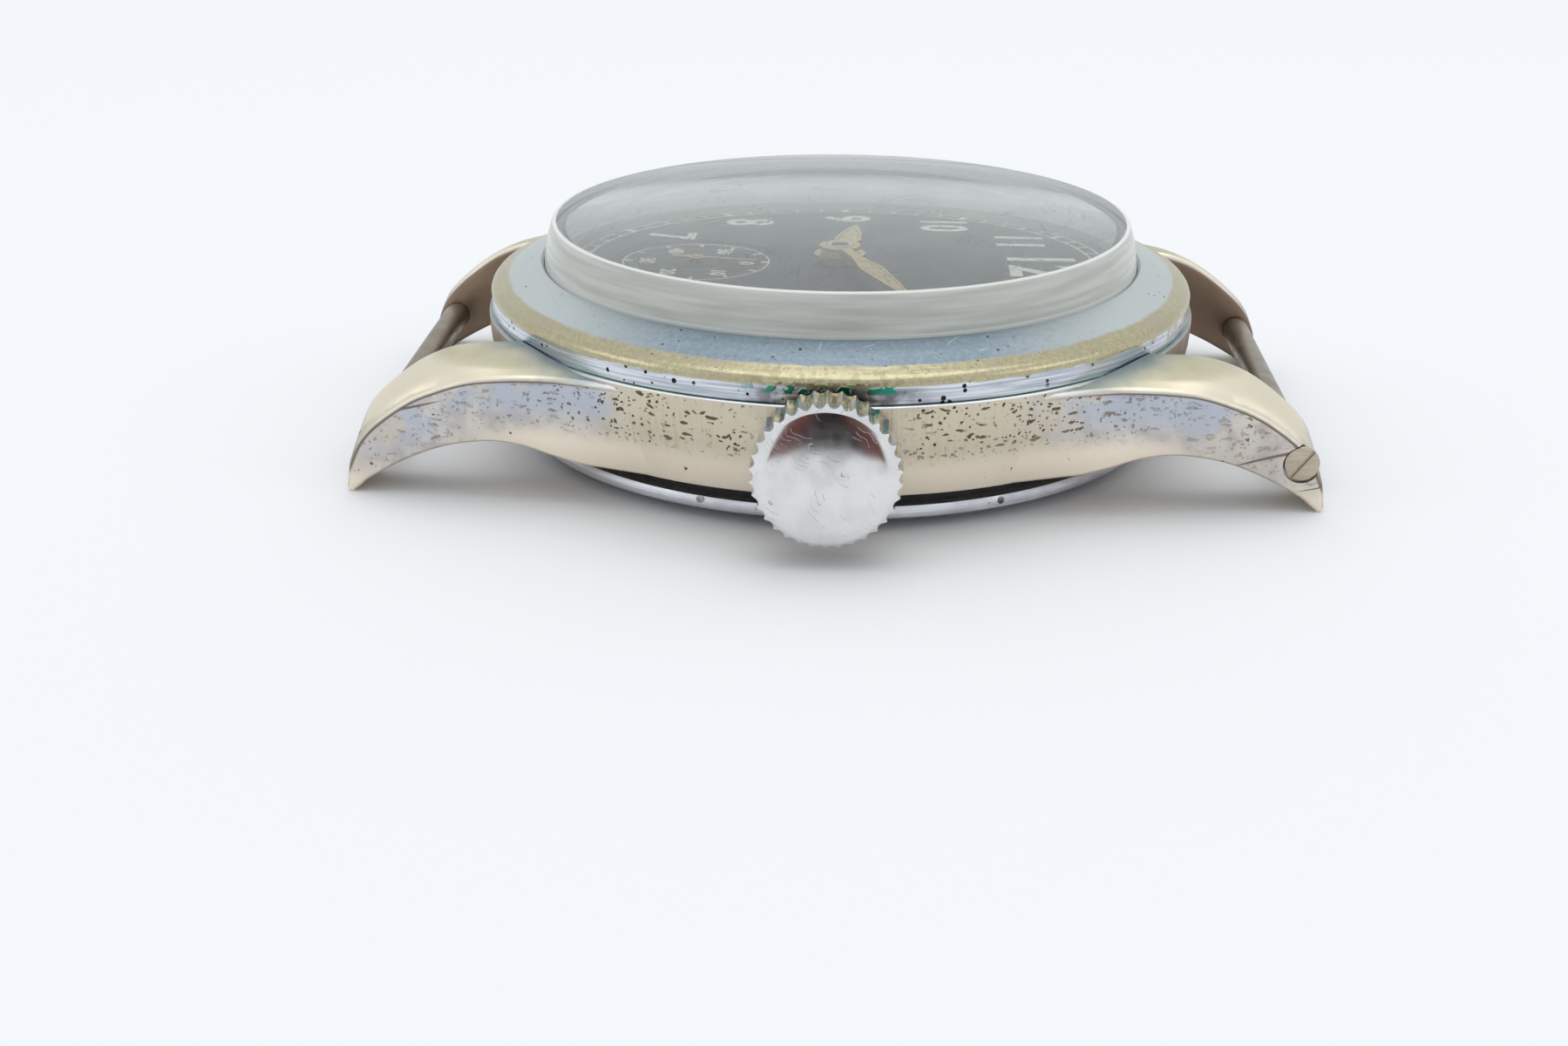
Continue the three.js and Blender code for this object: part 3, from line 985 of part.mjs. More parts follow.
function minuteWheel() {
  return join(
    plate(wheelOutline(MINUTE_WHEEL, 0), ...MINUTE_WHEEL_Z),
    plate(pinionOutline(MINUTE_PINION, 0), MINUTE_WHEEL_Z[1] - CLEAR, HOUR_WHEEL_Z[1] + 0.1),
    disc(PIVOT, PLATE_BOTTOM + CLEAR, MINUTE_WHEEL_Z[1], PIVOT_ROUND),
  );
}

function hourWheel() {
  return cut(
    join(plate(wheelOutline(HOUR_WHEEL, hourPhase), ...HOUR_WHEEL_Z), disc(HOUR_TUBE, HOUR_WHEEL_Z[0], HOUR_TOP, MIDDLE_ROUND)),
    disc(HOUR_BORE, PLATE_TOP - EPS, HOUR_TOP + EPS, MIDDLE_ROUND),
  );
}

function settingWheel() {
  return join(
    plate(wheelOutline(SETTING_WHEEL, settingPhase), ...MINUTE_WHEEL_Z),
    disc(PIVOT, PLATE_BOTTOM + CLEAR, MINUTE_WHEEL_Z[1], PIVOT_ROUND),
  );
}

const DIAL_HOLE = HOUR_TUBE + 0.12;
function dial() {
  const blank = disc(DIAL_RADIUS, DIAL_BOTTOM, DIAL_TOP, ROUND);
  const feet = [75, 255].map((angle) =>
    moved(disc(0.3, PLATE_TOP + 0.2, DIAL_BOTTOM + 0.1, PIVOT_ROUND), ...polar(MOVEMENT_RADIUS - 1.5, angle)));
  const holes = [[CENTRE, DIAL_HOLE], [FOURTH_AT, SECONDS_PIVOT + 0.1]].map(([[x, y], radius]) =>
    moved(disc(radius, DIAL_BOTTOM - EPS, DIAL_TOP + EPS, MIDDLE_ROUND), x, y));
  return cut(join(blank, ...feet), ...holes);
}

// A hand points along its own angle: a round hub, then a blade that swells and comes to a point.
function hand({ length, tail, width, hub, bore, low, thickness, angle }) {
  const blade = [
    [0, -width * 0.22],
    [length * 0.25, -width * 0.22],
    [length * 0.45, -width * 0.5],
    [length * 0.85, -width * 0.32],
    [length, 0],
    [length * 0.85, width * 0.32],
    [length * 0.45, width * 0.5],
    [length * 0.25, width * 0.22],
    [0, width * 0.22],
    [-tail, width * 0.2],
    [-tail, -width * 0.2],
  ];
  const flat = join(plate(blade, low, low + thickness), disc(hub, low, low + thickness, MIDDLE_ROUND));
  return cut(flat, disc(bore, low - EPS, low + thickness + EPS, MIDDLE_ROUND)).rotate([0, 0, angle]);
}

const HOUR_HAND_ANGLE = 174;
const MINUTE_HAND_ANGLE = 20;
const SECONDS_HAND_ANGLE = 80;
const hourHand = hand({
  length: 6.6, tail: 0.6, width: 1.25, hub: HOUR_TUBE + 0.35, bore: HOUR_TUBE + SEAT,
  low: HOUR_TOP - 0.2, thickness: 0.16, angle: HOUR_HAND_ANGLE,
});
const minuteHand = hand({
  length: 10.6, tail: 0.6, width: 1.05, hub: CANNON_RADIUS + 0.4, bore: CANNON_RADIUS + SEAT,
  low: CANNON_TOP - 0.2, thickness: 0.16, angle: MINUTE_HAND_ANGLE,
});
const secondsHand = hand({
  length: 2.9, tail: 0.9, width: 0.3, hub: 0.4, bore: SECONDS_PIVOT + SEAT,
  low: DIAL_TOP + 0.08, thickness: 0.1, angle: SECONDS_HAND_ANGLE,
});

add(movement, "cannon_pinion", cannonPinion(), STEEL);
add(movement, "minute_wheel", minuteWheel(), GILT, MINUTE_AT);
add(movement, "hour_wheel", hourWheel(), GILT);
add(movement, "setting_wheel", settingWheel(), STEEL, SETTING_AT);
add(root, "dial", dial(), DIAL_BLACK);
add(root, "hour_hand", hourHand, LUME);
add(root, "minute_hand", minuteHand, LUME);
add(root, "seconds_hand", secondsHand, LUME, FOURTH_AT);

export default root;
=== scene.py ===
# %% [markdown]
# # A hand-wound wristwatch head
# The object is the head of an old service wristwatch, without its strap: a plated brass case
# with four lugs, a brass bezel, a clear domed crystal over a black dial, a steel back and a
# fluted crown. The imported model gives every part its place. Here each visible part gets the
# shape and the worn finish that a hand would feel, and the movement inside gets its metals.

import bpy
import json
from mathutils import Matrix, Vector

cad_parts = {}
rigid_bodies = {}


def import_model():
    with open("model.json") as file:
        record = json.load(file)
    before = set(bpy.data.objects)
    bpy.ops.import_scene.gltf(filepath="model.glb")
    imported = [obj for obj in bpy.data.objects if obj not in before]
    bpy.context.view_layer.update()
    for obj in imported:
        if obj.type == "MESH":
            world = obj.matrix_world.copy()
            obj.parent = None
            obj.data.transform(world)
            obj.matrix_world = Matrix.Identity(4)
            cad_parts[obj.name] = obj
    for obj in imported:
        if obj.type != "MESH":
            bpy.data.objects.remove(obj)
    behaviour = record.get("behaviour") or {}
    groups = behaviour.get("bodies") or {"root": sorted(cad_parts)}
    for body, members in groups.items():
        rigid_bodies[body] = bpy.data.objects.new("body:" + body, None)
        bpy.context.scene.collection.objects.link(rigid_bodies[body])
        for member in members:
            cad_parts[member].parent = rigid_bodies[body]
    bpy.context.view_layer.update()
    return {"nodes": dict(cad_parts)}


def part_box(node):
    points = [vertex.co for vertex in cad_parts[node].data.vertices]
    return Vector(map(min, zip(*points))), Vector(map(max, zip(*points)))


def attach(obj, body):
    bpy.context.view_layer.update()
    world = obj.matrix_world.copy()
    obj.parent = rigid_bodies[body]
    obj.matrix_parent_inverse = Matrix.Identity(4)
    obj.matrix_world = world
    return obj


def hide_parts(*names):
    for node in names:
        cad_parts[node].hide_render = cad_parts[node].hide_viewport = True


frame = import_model()

# %% [markdown]
# ## Small tools
# Everything is drawn in millimetres and scaled to metres at one place. Loading leaves the
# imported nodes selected, and an operator acts on all that is selected, so each new piece starts
# by clearing the selection. Colours are written as sRGB hex, as a paint chart gives them, and
# one function turns them to the linear values that a shader wants.

# %% Units, colours and a node helper
import json
import math

import bmesh
import bpy
from mathutils import Matrix, Vector

MM = 0.001


def colour(code):
    """An sRGB hex colour as linear red, green, blue and alpha."""
    shares = [int(code[i:i + 2], 16) / 255 for i in (1, 3, 5)]
    return (*[s / 12.92 if s <= 0.04045 else ((s + 0.055) / 1.055) ** 2.4 for s in shares], 1.0)


def add_node(tree, kind, inputs={}, **settings):
    """One shader node with its settings. An input is a number, a colour, or a socket to link."""
    node = tree.nodes.new(kind)
    for name, value in settings.items():
        setattr(node, name, value)
    for key, value in inputs.items():
        if isinstance(value, bpy.types.NodeSocket):
            tree.links.new(value, node.inputs[key])
        else:
            node.inputs[key].default_value = value
    return node


def start_clean():
    """Object mode, with nothing selected."""
    if bpy.context.object and bpy.context.object.mode != "OBJECT":
        bpy.ops.object.mode_set(mode="OBJECT")
    bpy.ops.object.select_all(action="DESELECT")


def pick(piece):
    """Object mode, with only this piece selected and active."""
    start_clean()
    piece.select_set(True)
    bpy.context.view_layer.objects.active = piece


def settle(piece, name):
    """Names a piece and puts its place, turn and size into its mesh."""
    pick(piece)
    piece.name = piece.data.name = name
    bpy.ops.object.transform_apply(location=True, rotation=True, scale=True)
    return piece


print("one millimetre is", MM, "of Blender's metres")

# %% [markdown]
# ## The camera
# A watch head on a table is looked at from its crown side, a little above the case. A normal
# lens of 50 mm stands close, so the near lugs look larger than the far ones. The camera is
# placed by its own position and by the three angles of its aim, so that the view can be read
# off as numbers.

# %% Place the camera
CAMERA_PLACE = Vector((0.10243, 0.00231, 0.03519))
CAMERA_LENS = 49.61
LOOK_DOWN, LOOK_ASIDE, LEAN = math.radians(21.78), math.radians(2.78), math.radians(0.27)

bpy.ops.object.camera_add(location=CAMERA_PLACE)
camera = bpy.context.object
camera.name = "table_camera"
camera.data.lens = CAMERA_LENS
camera.data.sensor_width = 36
camera.data.clip_start = 0.005
ahead = Vector((-math.cos(LOOK_DOWN) * math.cos(LOOK_ASIDE),
                -math.cos(LOOK_DOWN) * math.sin(LOOK_ASIDE),
                -math.sin(LOOK_DOWN)))
level = ahead.cross(Vector((0, 0, 1))).normalized()
upright = level.cross(ahead)
right = level * math.cos(LEAN) + upright * math.sin(LEAN)
up = upright * math.cos(LEAN) - level * math.sin(LEAN)
camera.rotation_euler = Matrix((right, up, -ahead)).transposed().to_euler()
bpy.context.scene.camera = camera
print("camera", [round(value, 4) for value in camera.location], "lens", CAMERA_LENS)

# %% [markdown]
# ## Table, lamps and surroundings
# The head stands on a pale matt table under a light tent. A tent is best stood in for by an
# even pale surrounding and a few very large lamps, which give soft shadows and long, calm
# reflections in metal. The table's colour and the lamps' level are set so that a colour comes
# out about as it is written. What the camera, metal and glass see of the tent is one pale
# backdrop; only its light on the table and the dial is stronger from above and from behind.

# %% Lay the table
start_clean()
bpy.ops.mesh.primitive_plane_add(size=6, location=(0, 0, 0))
floor = bpy.context.object
bpy.ops.object.mode_set(mode="EDIT")
bpy.ops.mesh.subdivide(number_cuts=3)
floor = settle(floor, "pale_table")
tabletop = bpy.data.materials.new("matt_paper_table")
tabletop.use_nodes = True
table_shader = tabletop.node_tree.nodes["Principled BSDF"]
table_shader.inputs["Base Color"].default_value = colour("#EAECEE")
table_shader.inputs["Roughness"].default_value = 0.5
table_shader.inputs["Specular IOR Level"].default_value = 0.0
floor.data.materials.append(tabletop)
print("table:", len(floor.data.polygons), "faces")

# %% [markdown]
# The tent is the world's light. Its strength grows with the height of the direction, and from
# behind, so that shadows fall softly towards the viewer. Whatever looks at the tent, through
# the camera, a mirror or glass, meets the even backdrop.

# %% Put up the light tent
TENT_LOW, TENT_HIGH, TENT_BEHIND = 0.04, 0.98, 0.65
BACKDROP = 1.0
world = bpy.data.worlds.new("light_tent")
bpy.context.scene.world = world
world.use_nodes = True
sky = world.node_tree
sky.nodes.clear()
path = add_node(sky, "ShaderNodeLightPath")
mirrored = add_node(sky, "ShaderNodeMath", {0: path.outputs["Is Glossy Ray"],
                                            1: path.outputs["Is Transmission Ray"]},
                    operation="MAXIMUM")
seen = add_node(sky, "ShaderNodeMath", {0: path.outputs["Is Camera Ray"],
                                        1: mirrored.outputs[0]}, operation="MAXIMUM")
direction = add_node(sky, "ShaderNodeTexCoord").outputs["Generated"]
rise = add_node(sky, "ShaderNodeSeparateXYZ", {0: direction})
overhead = add_node(sky, "ShaderNodeMapRange", {"Value": rise.outputs["Z"], "From Min": 0.0,
                                                "From Max": 0.8, "To Min": TENT_LOW,
                                                "To Max": TENT_HIGH})
behind = add_node(sky, "ShaderNodeMapRange", {"Value": rise.outputs["X"], "From Min": -0.1,
                                              "From Max": -0.9, "To Min": 0.0,
                                              "To Max": TENT_BEHIND})
brightness = add_node(sky, "ShaderNodeMath", {0: overhead.outputs[0], 1: behind.outputs[0]})
tent = add_node(sky, "ShaderNodeBackground", {"Color": colour("#F7F9FB"),
                                              "Strength": brightness.outputs[0]})
backdrop = add_node(sky, "ShaderNodeBackground", {"Color": colour("#ECF1F5"),
                                                   "Strength": BACKDROP})
both = add_node(sky, "ShaderNodeMixShader", {0: seen.outputs[0], 1: tent.outputs[0],
                                             2: backdrop.outputs[0]})
add_node(sky, "ShaderNodeOutputWorld", {0: both.outputs[0]})
print("tent:", len(sky.nodes), "nodes")

# %% [markdown]
# Three square lamps do the rest: a large one overhead and a little behind, and two small ones
# at the sides that keep the flanks from going dull.

# %% Hang the softboxes

def softbox(name, place, size, watts, aim=(0, 0, 0.004)):
    """A large square lamp that faces a point of the watch."""
    bpy.ops.object.light_add(type="AREA", location=place)
    lamp = bpy.context.object
    lamp.name = name
    lamp.data.size = size
    lamp.data.energy = watts
    toward = Vector(aim) - Vector(place)
    lamp.rotation_euler = toward.to_track_quat("-Z", "Y").to_euler()
    return lamp


softbox("overhead_softbox", (-0.05, 0.03, 0.7), 0.6, 1.25)
softbox("left_softbox", (0.12, -0.5, 0.32), 0.25, 0.19)
softbox("right_softbox", (0.12, 0.5, 0.32), 0.25, 0.19)

# %% [markdown]
# A polished face in a white tent is a white face, and it reads as paint. So a dark card, a
# flag, stands in front of the crown, where only mirrors see it. It puts a dark, slightly red
# reflection into the upper third of the crown's face. It belongs to the stage.

# %% Stand a dark flag before the crown
FLAG_AWAY, FLAG_HEIGHT = 35.0, 7.3
FLAG_SIZE = (14.0, 13.0)
FLAG_BLACK, FLAG_RED = 1.4, 3.2
start_clean()
bpy.ops.mesh.primitive_plane_add(size=1, location=(FLAG_AWAY * MM, 0, FLAG_HEIGHT * MM),
                                 rotation=(0, math.radians(90), 0))
bpy.context.object.scale = (FLAG_SIZE[0] * MM, FLAG_SIZE[1] * MM, 1)
flag = settle(bpy.context.object, "dark_flag")
flag.visible_camera = flag.visible_diffuse = flag.visible_shadow = False
flag.visible_transmission = False
flag_cloth = bpy.data.materials.new("black_flag_cloth")
flag_cloth.use_nodes = True
flag_shader = flag_cloth.node_tree.nodes["Principled BSDF"]
across_flag = add_node(flag_cloth.node_tree, "ShaderNodeTexCoord").outputs["Object"]
flag_y = add_node(flag_cloth.node_tree, "ShaderNodeSeparateXYZ", {0: across_flag}).outputs["Y"]
flag_side = add_node(flag_cloth.node_tree, "ShaderNodeMath", {0: flag_y},
                     operation="ABSOLUTE").outputs[0]
reddened = add_node(flag_cloth.node_tree, "ShaderNodeMapRange",
                    {"Value": flag_side, "From Min": FLAG_BLACK * MM,
                     "From Max": FLAG_RED * MM})
flag_colour = add_node(flag_cloth.node_tree, "ShaderNodeMix",
                       {0: reddened.outputs[0], 6: colour("#141316"), 7: colour("#6B3A30")},
                       data_type="RGBA")
flag_cloth.node_tree.links.new(flag_colour.outputs[2], flag_shader.inputs["Base Color"])
flag_shader.inputs["Roughness"].default_value = 1.0
flag.data.materials.append(flag_cloth)
bpy.context.scene.view_settings.view_transform = "Standard"
print("flag:", FLAG_AWAY, "mm from the middle")

# %% [markdown]
# ## Turning on a lathe
# Bezel, crystal, back, crown, bars and dial are all round parts that were cut on a lathe. The
# same is done here: a half outline is drawn by extruding one vertex from corner to corner, and
# spun once round the centre line. Outlines that touch the centre line close there by merging.

# %% The lathe
SAME_PLACE = 1e-6


def turn_faces_out():
    """In edit mode: all faces of the closed shape point outwards."""
    bpy.ops.mesh.select_all(action="SELECT")
    bpy.ops.mesh.normals_make_consistent(inside=False)


def turn(name, outline, sides=256):
    """A piece turned about Z from (radius, height) corners in mm."""
    start_clean()
    closed = all(radius > 0 for radius, height in outline)
    corners = outline + outline[:1] if closed else outline
    radius, height = corners[0]
    bpy.ops.mesh.primitive_plane_add(size=MM, location=(radius * MM, 0, height * MM))
    piece = bpy.context.object
    bpy.ops.object.mode_set(mode="EDIT")
    bpy.ops.mesh.select_all(action="SELECT")
    bpy.ops.mesh.merge(type="CENTER")
    for (r0, z0), (r1, z1) in zip(corners, corners[1:]):
        bpy.ops.mesh.extrude_vertices_move(
            TRANSFORM_OT_translate={"value": ((r1 - r0) * MM, 0, (z1 - z0) * MM)})
    bpy.ops.mesh.select_all(action="SELECT")
    bpy.ops.mesh.spin(steps=sides, angle=2 * math.pi, center=(0, 0, 0), axis=(0, 0, 1))
    bpy.ops.mesh.select_all(action="SELECT")
    bpy.ops.mesh.remove_doubles(threshold=SAME_PLACE)
    turn_faces_out()
    return settle(piece, name)


def soften_edges(piece, width, segments=2, angle=28):
    """Rounds every edge sharper than the angle by a width in mm, as a deburring wheel does."""
    pick(piece)
    bevel = piece.modifiers.new("soft edges", "BEVEL")
    bevel.width = width * MM
    bevel.segments = segments
    bevel.limit_method = "ANGLE"
    bevel.angle_limit = math.radians(angle)
    bevel.use_clamp_overlap = True
    bpy.ops.object.modifier_apply(modifier=bevel.name)


def smooth(piece, angle=32):
    """Smooth shading, except over edges sharper than the angle."""
    pick(piece)
    bpy.ops.object.shade_smooth_by_angle(angle=math.radians(angle))


def combine(piece, other, operation):
    """Joins, cuts or keeps the common part of two solids, and removes the second."""
    pick(piece)
    step = piece.modifiers.new("combine", "BOOLEAN")
    step.operation = operation
    step.solver = "EXACT"
    step.object = other
    bpy.ops.object.modifier_apply(modifier=step.name)
    bpy.data.objects.remove(other)


def faces(piece):
    return len(piece.data.polygons)


print("points closer than", SAME_PLACE / MM, "mm merge on the lathe")

# %% [markdown]
# ## The bezel
# A turned brass ring that snaps over the case's neck and holds the crystal. Its wall is
# straight, its outer edge is rounded and worn to bare brass, and its top slopes up to the
# crystal. A lathe outline gives all of it; the rounded edge gets corners of its own, because
# the light runs along it as one bright line. Each turned piece keeps a hair of air inside the
# packed box, so that nothing touches its neighbour's faces exactly.

# %% Turn the bezel
AIR = 0.02
bezel_low, bezel_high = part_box("bezel")
BEZEL_FOOT, BEZEL_TOP = bezel_low.z / MM, bezel_high.z / MM
BEZEL_RADIUS = bezel_high.x / MM
BEZEL_BORE = 14.33
NECK_BORE = 15.23
NECK_TOP = 7.3
WALL_TOP = 7.05
SLOPE_MIDDLE = (15.6, 7.95)
EDGE_ROUND = [(BEZEL_RADIUS - 0.03, WALL_TOP), (BEZEL_RADIUS - 0.015, WALL_TOP + 0.1),
              (BEZEL_RADIUS - 0.06, WALL_TOP + 0.24), (BEZEL_RADIUS - 0.17, WALL_TOP + 0.38),
              (BEZEL_RADIUS - 0.34, WALL_TOP + 0.48), (BEZEL_RADIUS - 0.6, WALL_TOP + 0.55)]
bezel_ring = turn("bezel_ring", [
    (NECK_BORE, BEZEL_FOOT + AIR), (BEZEL_RADIUS - 0.07, BEZEL_FOOT + AIR),
    (BEZEL_RADIUS - 0.03, BEZEL_FOOT + 0.07), (BEZEL_RADIUS - 0.03, BEZEL_FOOT + 0.4),
    *EDGE_ROUND, SLOPE_MIDDLE,
    (14.62, BEZEL_TOP - 0.03), (14.45, BEZEL_TOP), (BEZEL_BORE, BEZEL_TOP - 0.1),
    (BEZEL_BORE, NECK_TOP + AIR), (NECK_BORE, NECK_TOP + AIR)], sides=320)
smooth(bezel_ring, 40)
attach(bezel_ring, "case")
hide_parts("bezel")
print("bezel_ring:", faces(bezel_ring), "faces, radius", round(BEZEL_RADIUS, 2))

# %% [markdown]
# ## The crystal
# A moulded acrylic cup with a straight wall, a crisp shoulder and a shallow dome. Real acrylic
# is a thick shell, and its inner and outer faces both bend the light, so it is turned as a
# solid with a true wall and not as a single skin. Its roof is thicker than its wall, which
# lifts what is seen of the dial, as water lifts the bottom of a pool.

# %% Turn the crystal
crystal_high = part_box("crystal")[1]
CRYSTAL_RADIUS, CRYSTAL_TOP = crystal_high.x / MM, crystal_high.z / MM
DOME_RISE = 0.95
SHOULDER = CRYSTAL_TOP - DOME_RISE
RIM = CRYSTAL_RADIUS - 0.5
THICK, ROOF = 0.75, 1.7
DOME_STEPS = 14
dome_turns = [math.radians(90 * i / DOME_STEPS) for i in range(1, DOME_STEPS)]
outer_dome = [(RIM * math.cos(a), SHOULDER + DOME_RISE * (1 - math.cos(a) ** 2))
              for a in dome_turns]
inner_dome = [(radius * (RIM - THICK) / RIM, height - ROOF) for radius, height in outer_dome]
crystal_dome = turn("crystal_dome", [
    (0, CRYSTAL_TOP - ROOF), *reversed(inner_dome),
    (RIM - THICK, SHOULDER - ROOF), (RIM - THICK + 0.12, SHOULDER - ROOF - 0.25),
    (CRYSTAL_RADIUS - THICK, NECK_TOP + AIR / 2), (CRYSTAL_RADIUS - AIR, NECK_TOP + AIR / 2),
    (CRYSTAL_RADIUS - AIR, BEZEL_TOP), (CRYSTAL_RADIUS - 0.2, SHOULDER - 0.75),
    (RIM + 0.13, SHOULDER - 0.22), (RIM + 0.09, SHOULDER - 0.08), (RIM, SHOULDER),
    *outer_dome, (0, CRYSTAL_TOP)], sides=256)
smooth(crystal_dome, 50)
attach(crystal_dome, "case")
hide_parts("crystal")
print("crystal_dome:", faces(crystal_dome), "faces, top", round(CRYSTAL_TOP, 2))

# %% [markdown]
# ## The case back
# A stamped steel cover pressed into the case from below. Only its bright rim shows from the
# side, standing off the case by a dark gap that a knife opens. Below, a low step and a flat
# that the watch rests on are turned in.

# %% Turn the case back
back_low, back_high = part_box("case_back")
RIM_PROUD = 0.35
BACK_RIM, BACK_TOP, BACK_FOOT = back_high.x / MM + RIM_PROUD, back_high.z / MM, back_low.z / MM
print("case back:", round(BACK_RIM, 2), round(BACK_FOOT, 2), round(BACK_TOP, 2))
back_cover = turn("case_back_cover", [
    (0, BACK_FOOT + AIR), (11.2, BACK_FOOT + AIR), (11.45, BACK_FOOT + 0.06),
    (11.9, 0.28), (13.4, 0.4), (14.5, 0.48), (BACK_RIM - 0.16, 0.58), (BACK_RIM - 0.04, 0.66),
    (BACK_RIM, 0.78), (BACK_RIM - 0.03, 1.06), (BACK_RIM - 0.1, 1.17), (BACK_RIM - 0.3, 1.2),
    (14.42, 1.2), (14.4, 1.26), (14.4, BACK_TOP - 0.1), (14.3, BACK_TOP),
    (13.5, BACK_TOP), (13.4, BACK_TOP - 0.1), (13.3, 1.1), (0, 1.0)], sides=256)
smooth(back_cover, 30)
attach(back_cover, "case")
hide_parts("case_back")
print("case_back_cover:", faces(back_cover), "faces")

# %% [markdown]
# ## The case band and its lugs
# The middle case is one forging: a round band with four horn-shaped lugs that flow out of its
# flank. The band can be turned. A lug cannot: it is drawn out of one small end face, which is
# extruded section by section from the tip to the root, and every section's corners are set to
# their place, as a clay horn is pulled. Near the root the lug's outer face eases into the
# round flank by a smooth maximum of the two outlines, so no crease shows where they meet.

# %% Turn the band
BAND = [(15.85, 1.9), (16.03, 1.9), (16.16, 1.97), (16.2, 2.06)]
FLANK = [(16.33, 2.5), (16.47, 3.0), (16.6, 3.5), (16.73, 4.0), (16.84, 4.5), (16.93, 5.0),
         (16.98, 5.5), (17.0, 5.96)]
TOP_EDGE = [(17.0, 6.1), (16.98, 6.18), (16.93, 6.23), (16.85, 6.25)]
band = turn("mid_case_shell", [
    (14.45, 1.9), *BAND, *FLANK, *TOP_EDGE, (16.0, 6.25), (15.25, 6.25), (15.2, 6.3),
    (15.2, 7.24), (15.14, 7.3), (13.0, 7.3), (13.0, 6.95), (13.95, 6.95), (13.95, 2.45),
    (14.45, 2.45)], sides=320)
print("band:", faces(band), "faces")


def flank_radius(height):
    """The band's outside radius at a height, both in mm, read along its turned outline."""
    line = BAND[2:] + FLANK + TOP_EDGE
    if height <= line[0][1]:
        return line[0][0]
    for (r0, z0), (r1, z1) in zip(line, line[1:]):
        if height <= z1:
            return r0 + (r1 - r0) * (height - z0) / (z1 - z0)
    return line[-1][0]


# %% [markdown]
# A lug is given by rows of measures, one for each section from the tip to the root. A smooth
# curve through the rows gives the sections in between, and each section is a ring of points
# that starts at its lower outer corner.

# %% Measure the lug
LUG_INNER, LUG_OUTER, LUG_FLARE, LUG_REACH = 9.0, 11.8, 1.25, 21.95
# from the tip inwards: the top's outer edge back from the tip and its height, the lower edge
# back from the tip and its height, the share of the flare outwards, how much higher the top's
# inner edge is than its outer one, and how far the top bulges between them
LUG_ROWS = [
    (0.0, 0.22, 0.3, 0.03, 0.0, 0.25, 0.02), (0.05, 0.85, 0.62, 0.28, 0.02, 0.7, 0.05),
    (0.22, 1.45, 1.0, 0.62, 0.05, 0.85, 0.1), (0.75, 2.6, 1.9, 1.17, 0.1, 0.85, 0.18),
    (1.6, 3.52, 3.0, 1.75, 0.18, 0.85, 0.24), (3.1, 4.6, 4.3, 2.3, 0.33, 0.92, 0.26),
    (4.5, 5.25, 5.6, 2.66, 0.52, 0.92, 0.26), (5.8, 5.7, 7.0, 2.84, 0.7, 0.72, 0.24),
    (7.2, 5.92, 8.4, 2.7, 0.86, 0.56, 0.2), (8.6, 6.02, 9.6, 2.34, 0.96, 0.48, 0.16),
    (10.9, 6.05, 10.9, 2.02, 1.0, 0.45, 0.12), (12.1, 6.08, 12.1, 1.96, 1.0, 0.4, 0.1),
    (13.3, 6.1, 13.3, 1.94, 1.0, 0.4, 0.1), (14.3, 6.1, 14.3, 1.94, 1.0, 0.4, 0.1)]
TOP_ROUND, LOW_ROUND, BLEND = 0.3, 0.16, 2.2
LUG_CEILING = 6.55
LUG_STEPS = 4
QUARTER = [0, 0.33, 0.67, 1]
WALL_SHARES = (0.2, 0.4, 0.6, 0.8)
TOP_SHARES = (0.86, 0.72, 0.58, 0.42, 0.28, 0.14)


def between(rows, steps):
    """Rows with extra ones in between, on a smooth curve through them all."""
    filled = []
    for i in range(len(rows) - 1):
        before, a, b, after = (rows[max(0, i - 1)], rows[i], rows[i + 1],
                               rows[min(len(rows) - 1, i + 2)])
        for step in range(steps):
            t = step / steps
            filled.append([0.5 * (2 * q + (r - p) * t + (2 * p - 5 * q + 4 * r - s) * t * t
                                  + (3 * q - p - 3 * r + s) * t ** 3)
                           for p, q, r, s in zip(before, a, b, after)])
    return filled + [list(rows[-1])]


print("lug rows:", len(LUG_ROWS))

# %% [markdown]
# A section runs up the outer face, over a small rounding, across the crowned top, and down the
# inner face. Its outer face is either the straight side of the horn or the round flank,
# whichever stands further out, with a soft change between the two.

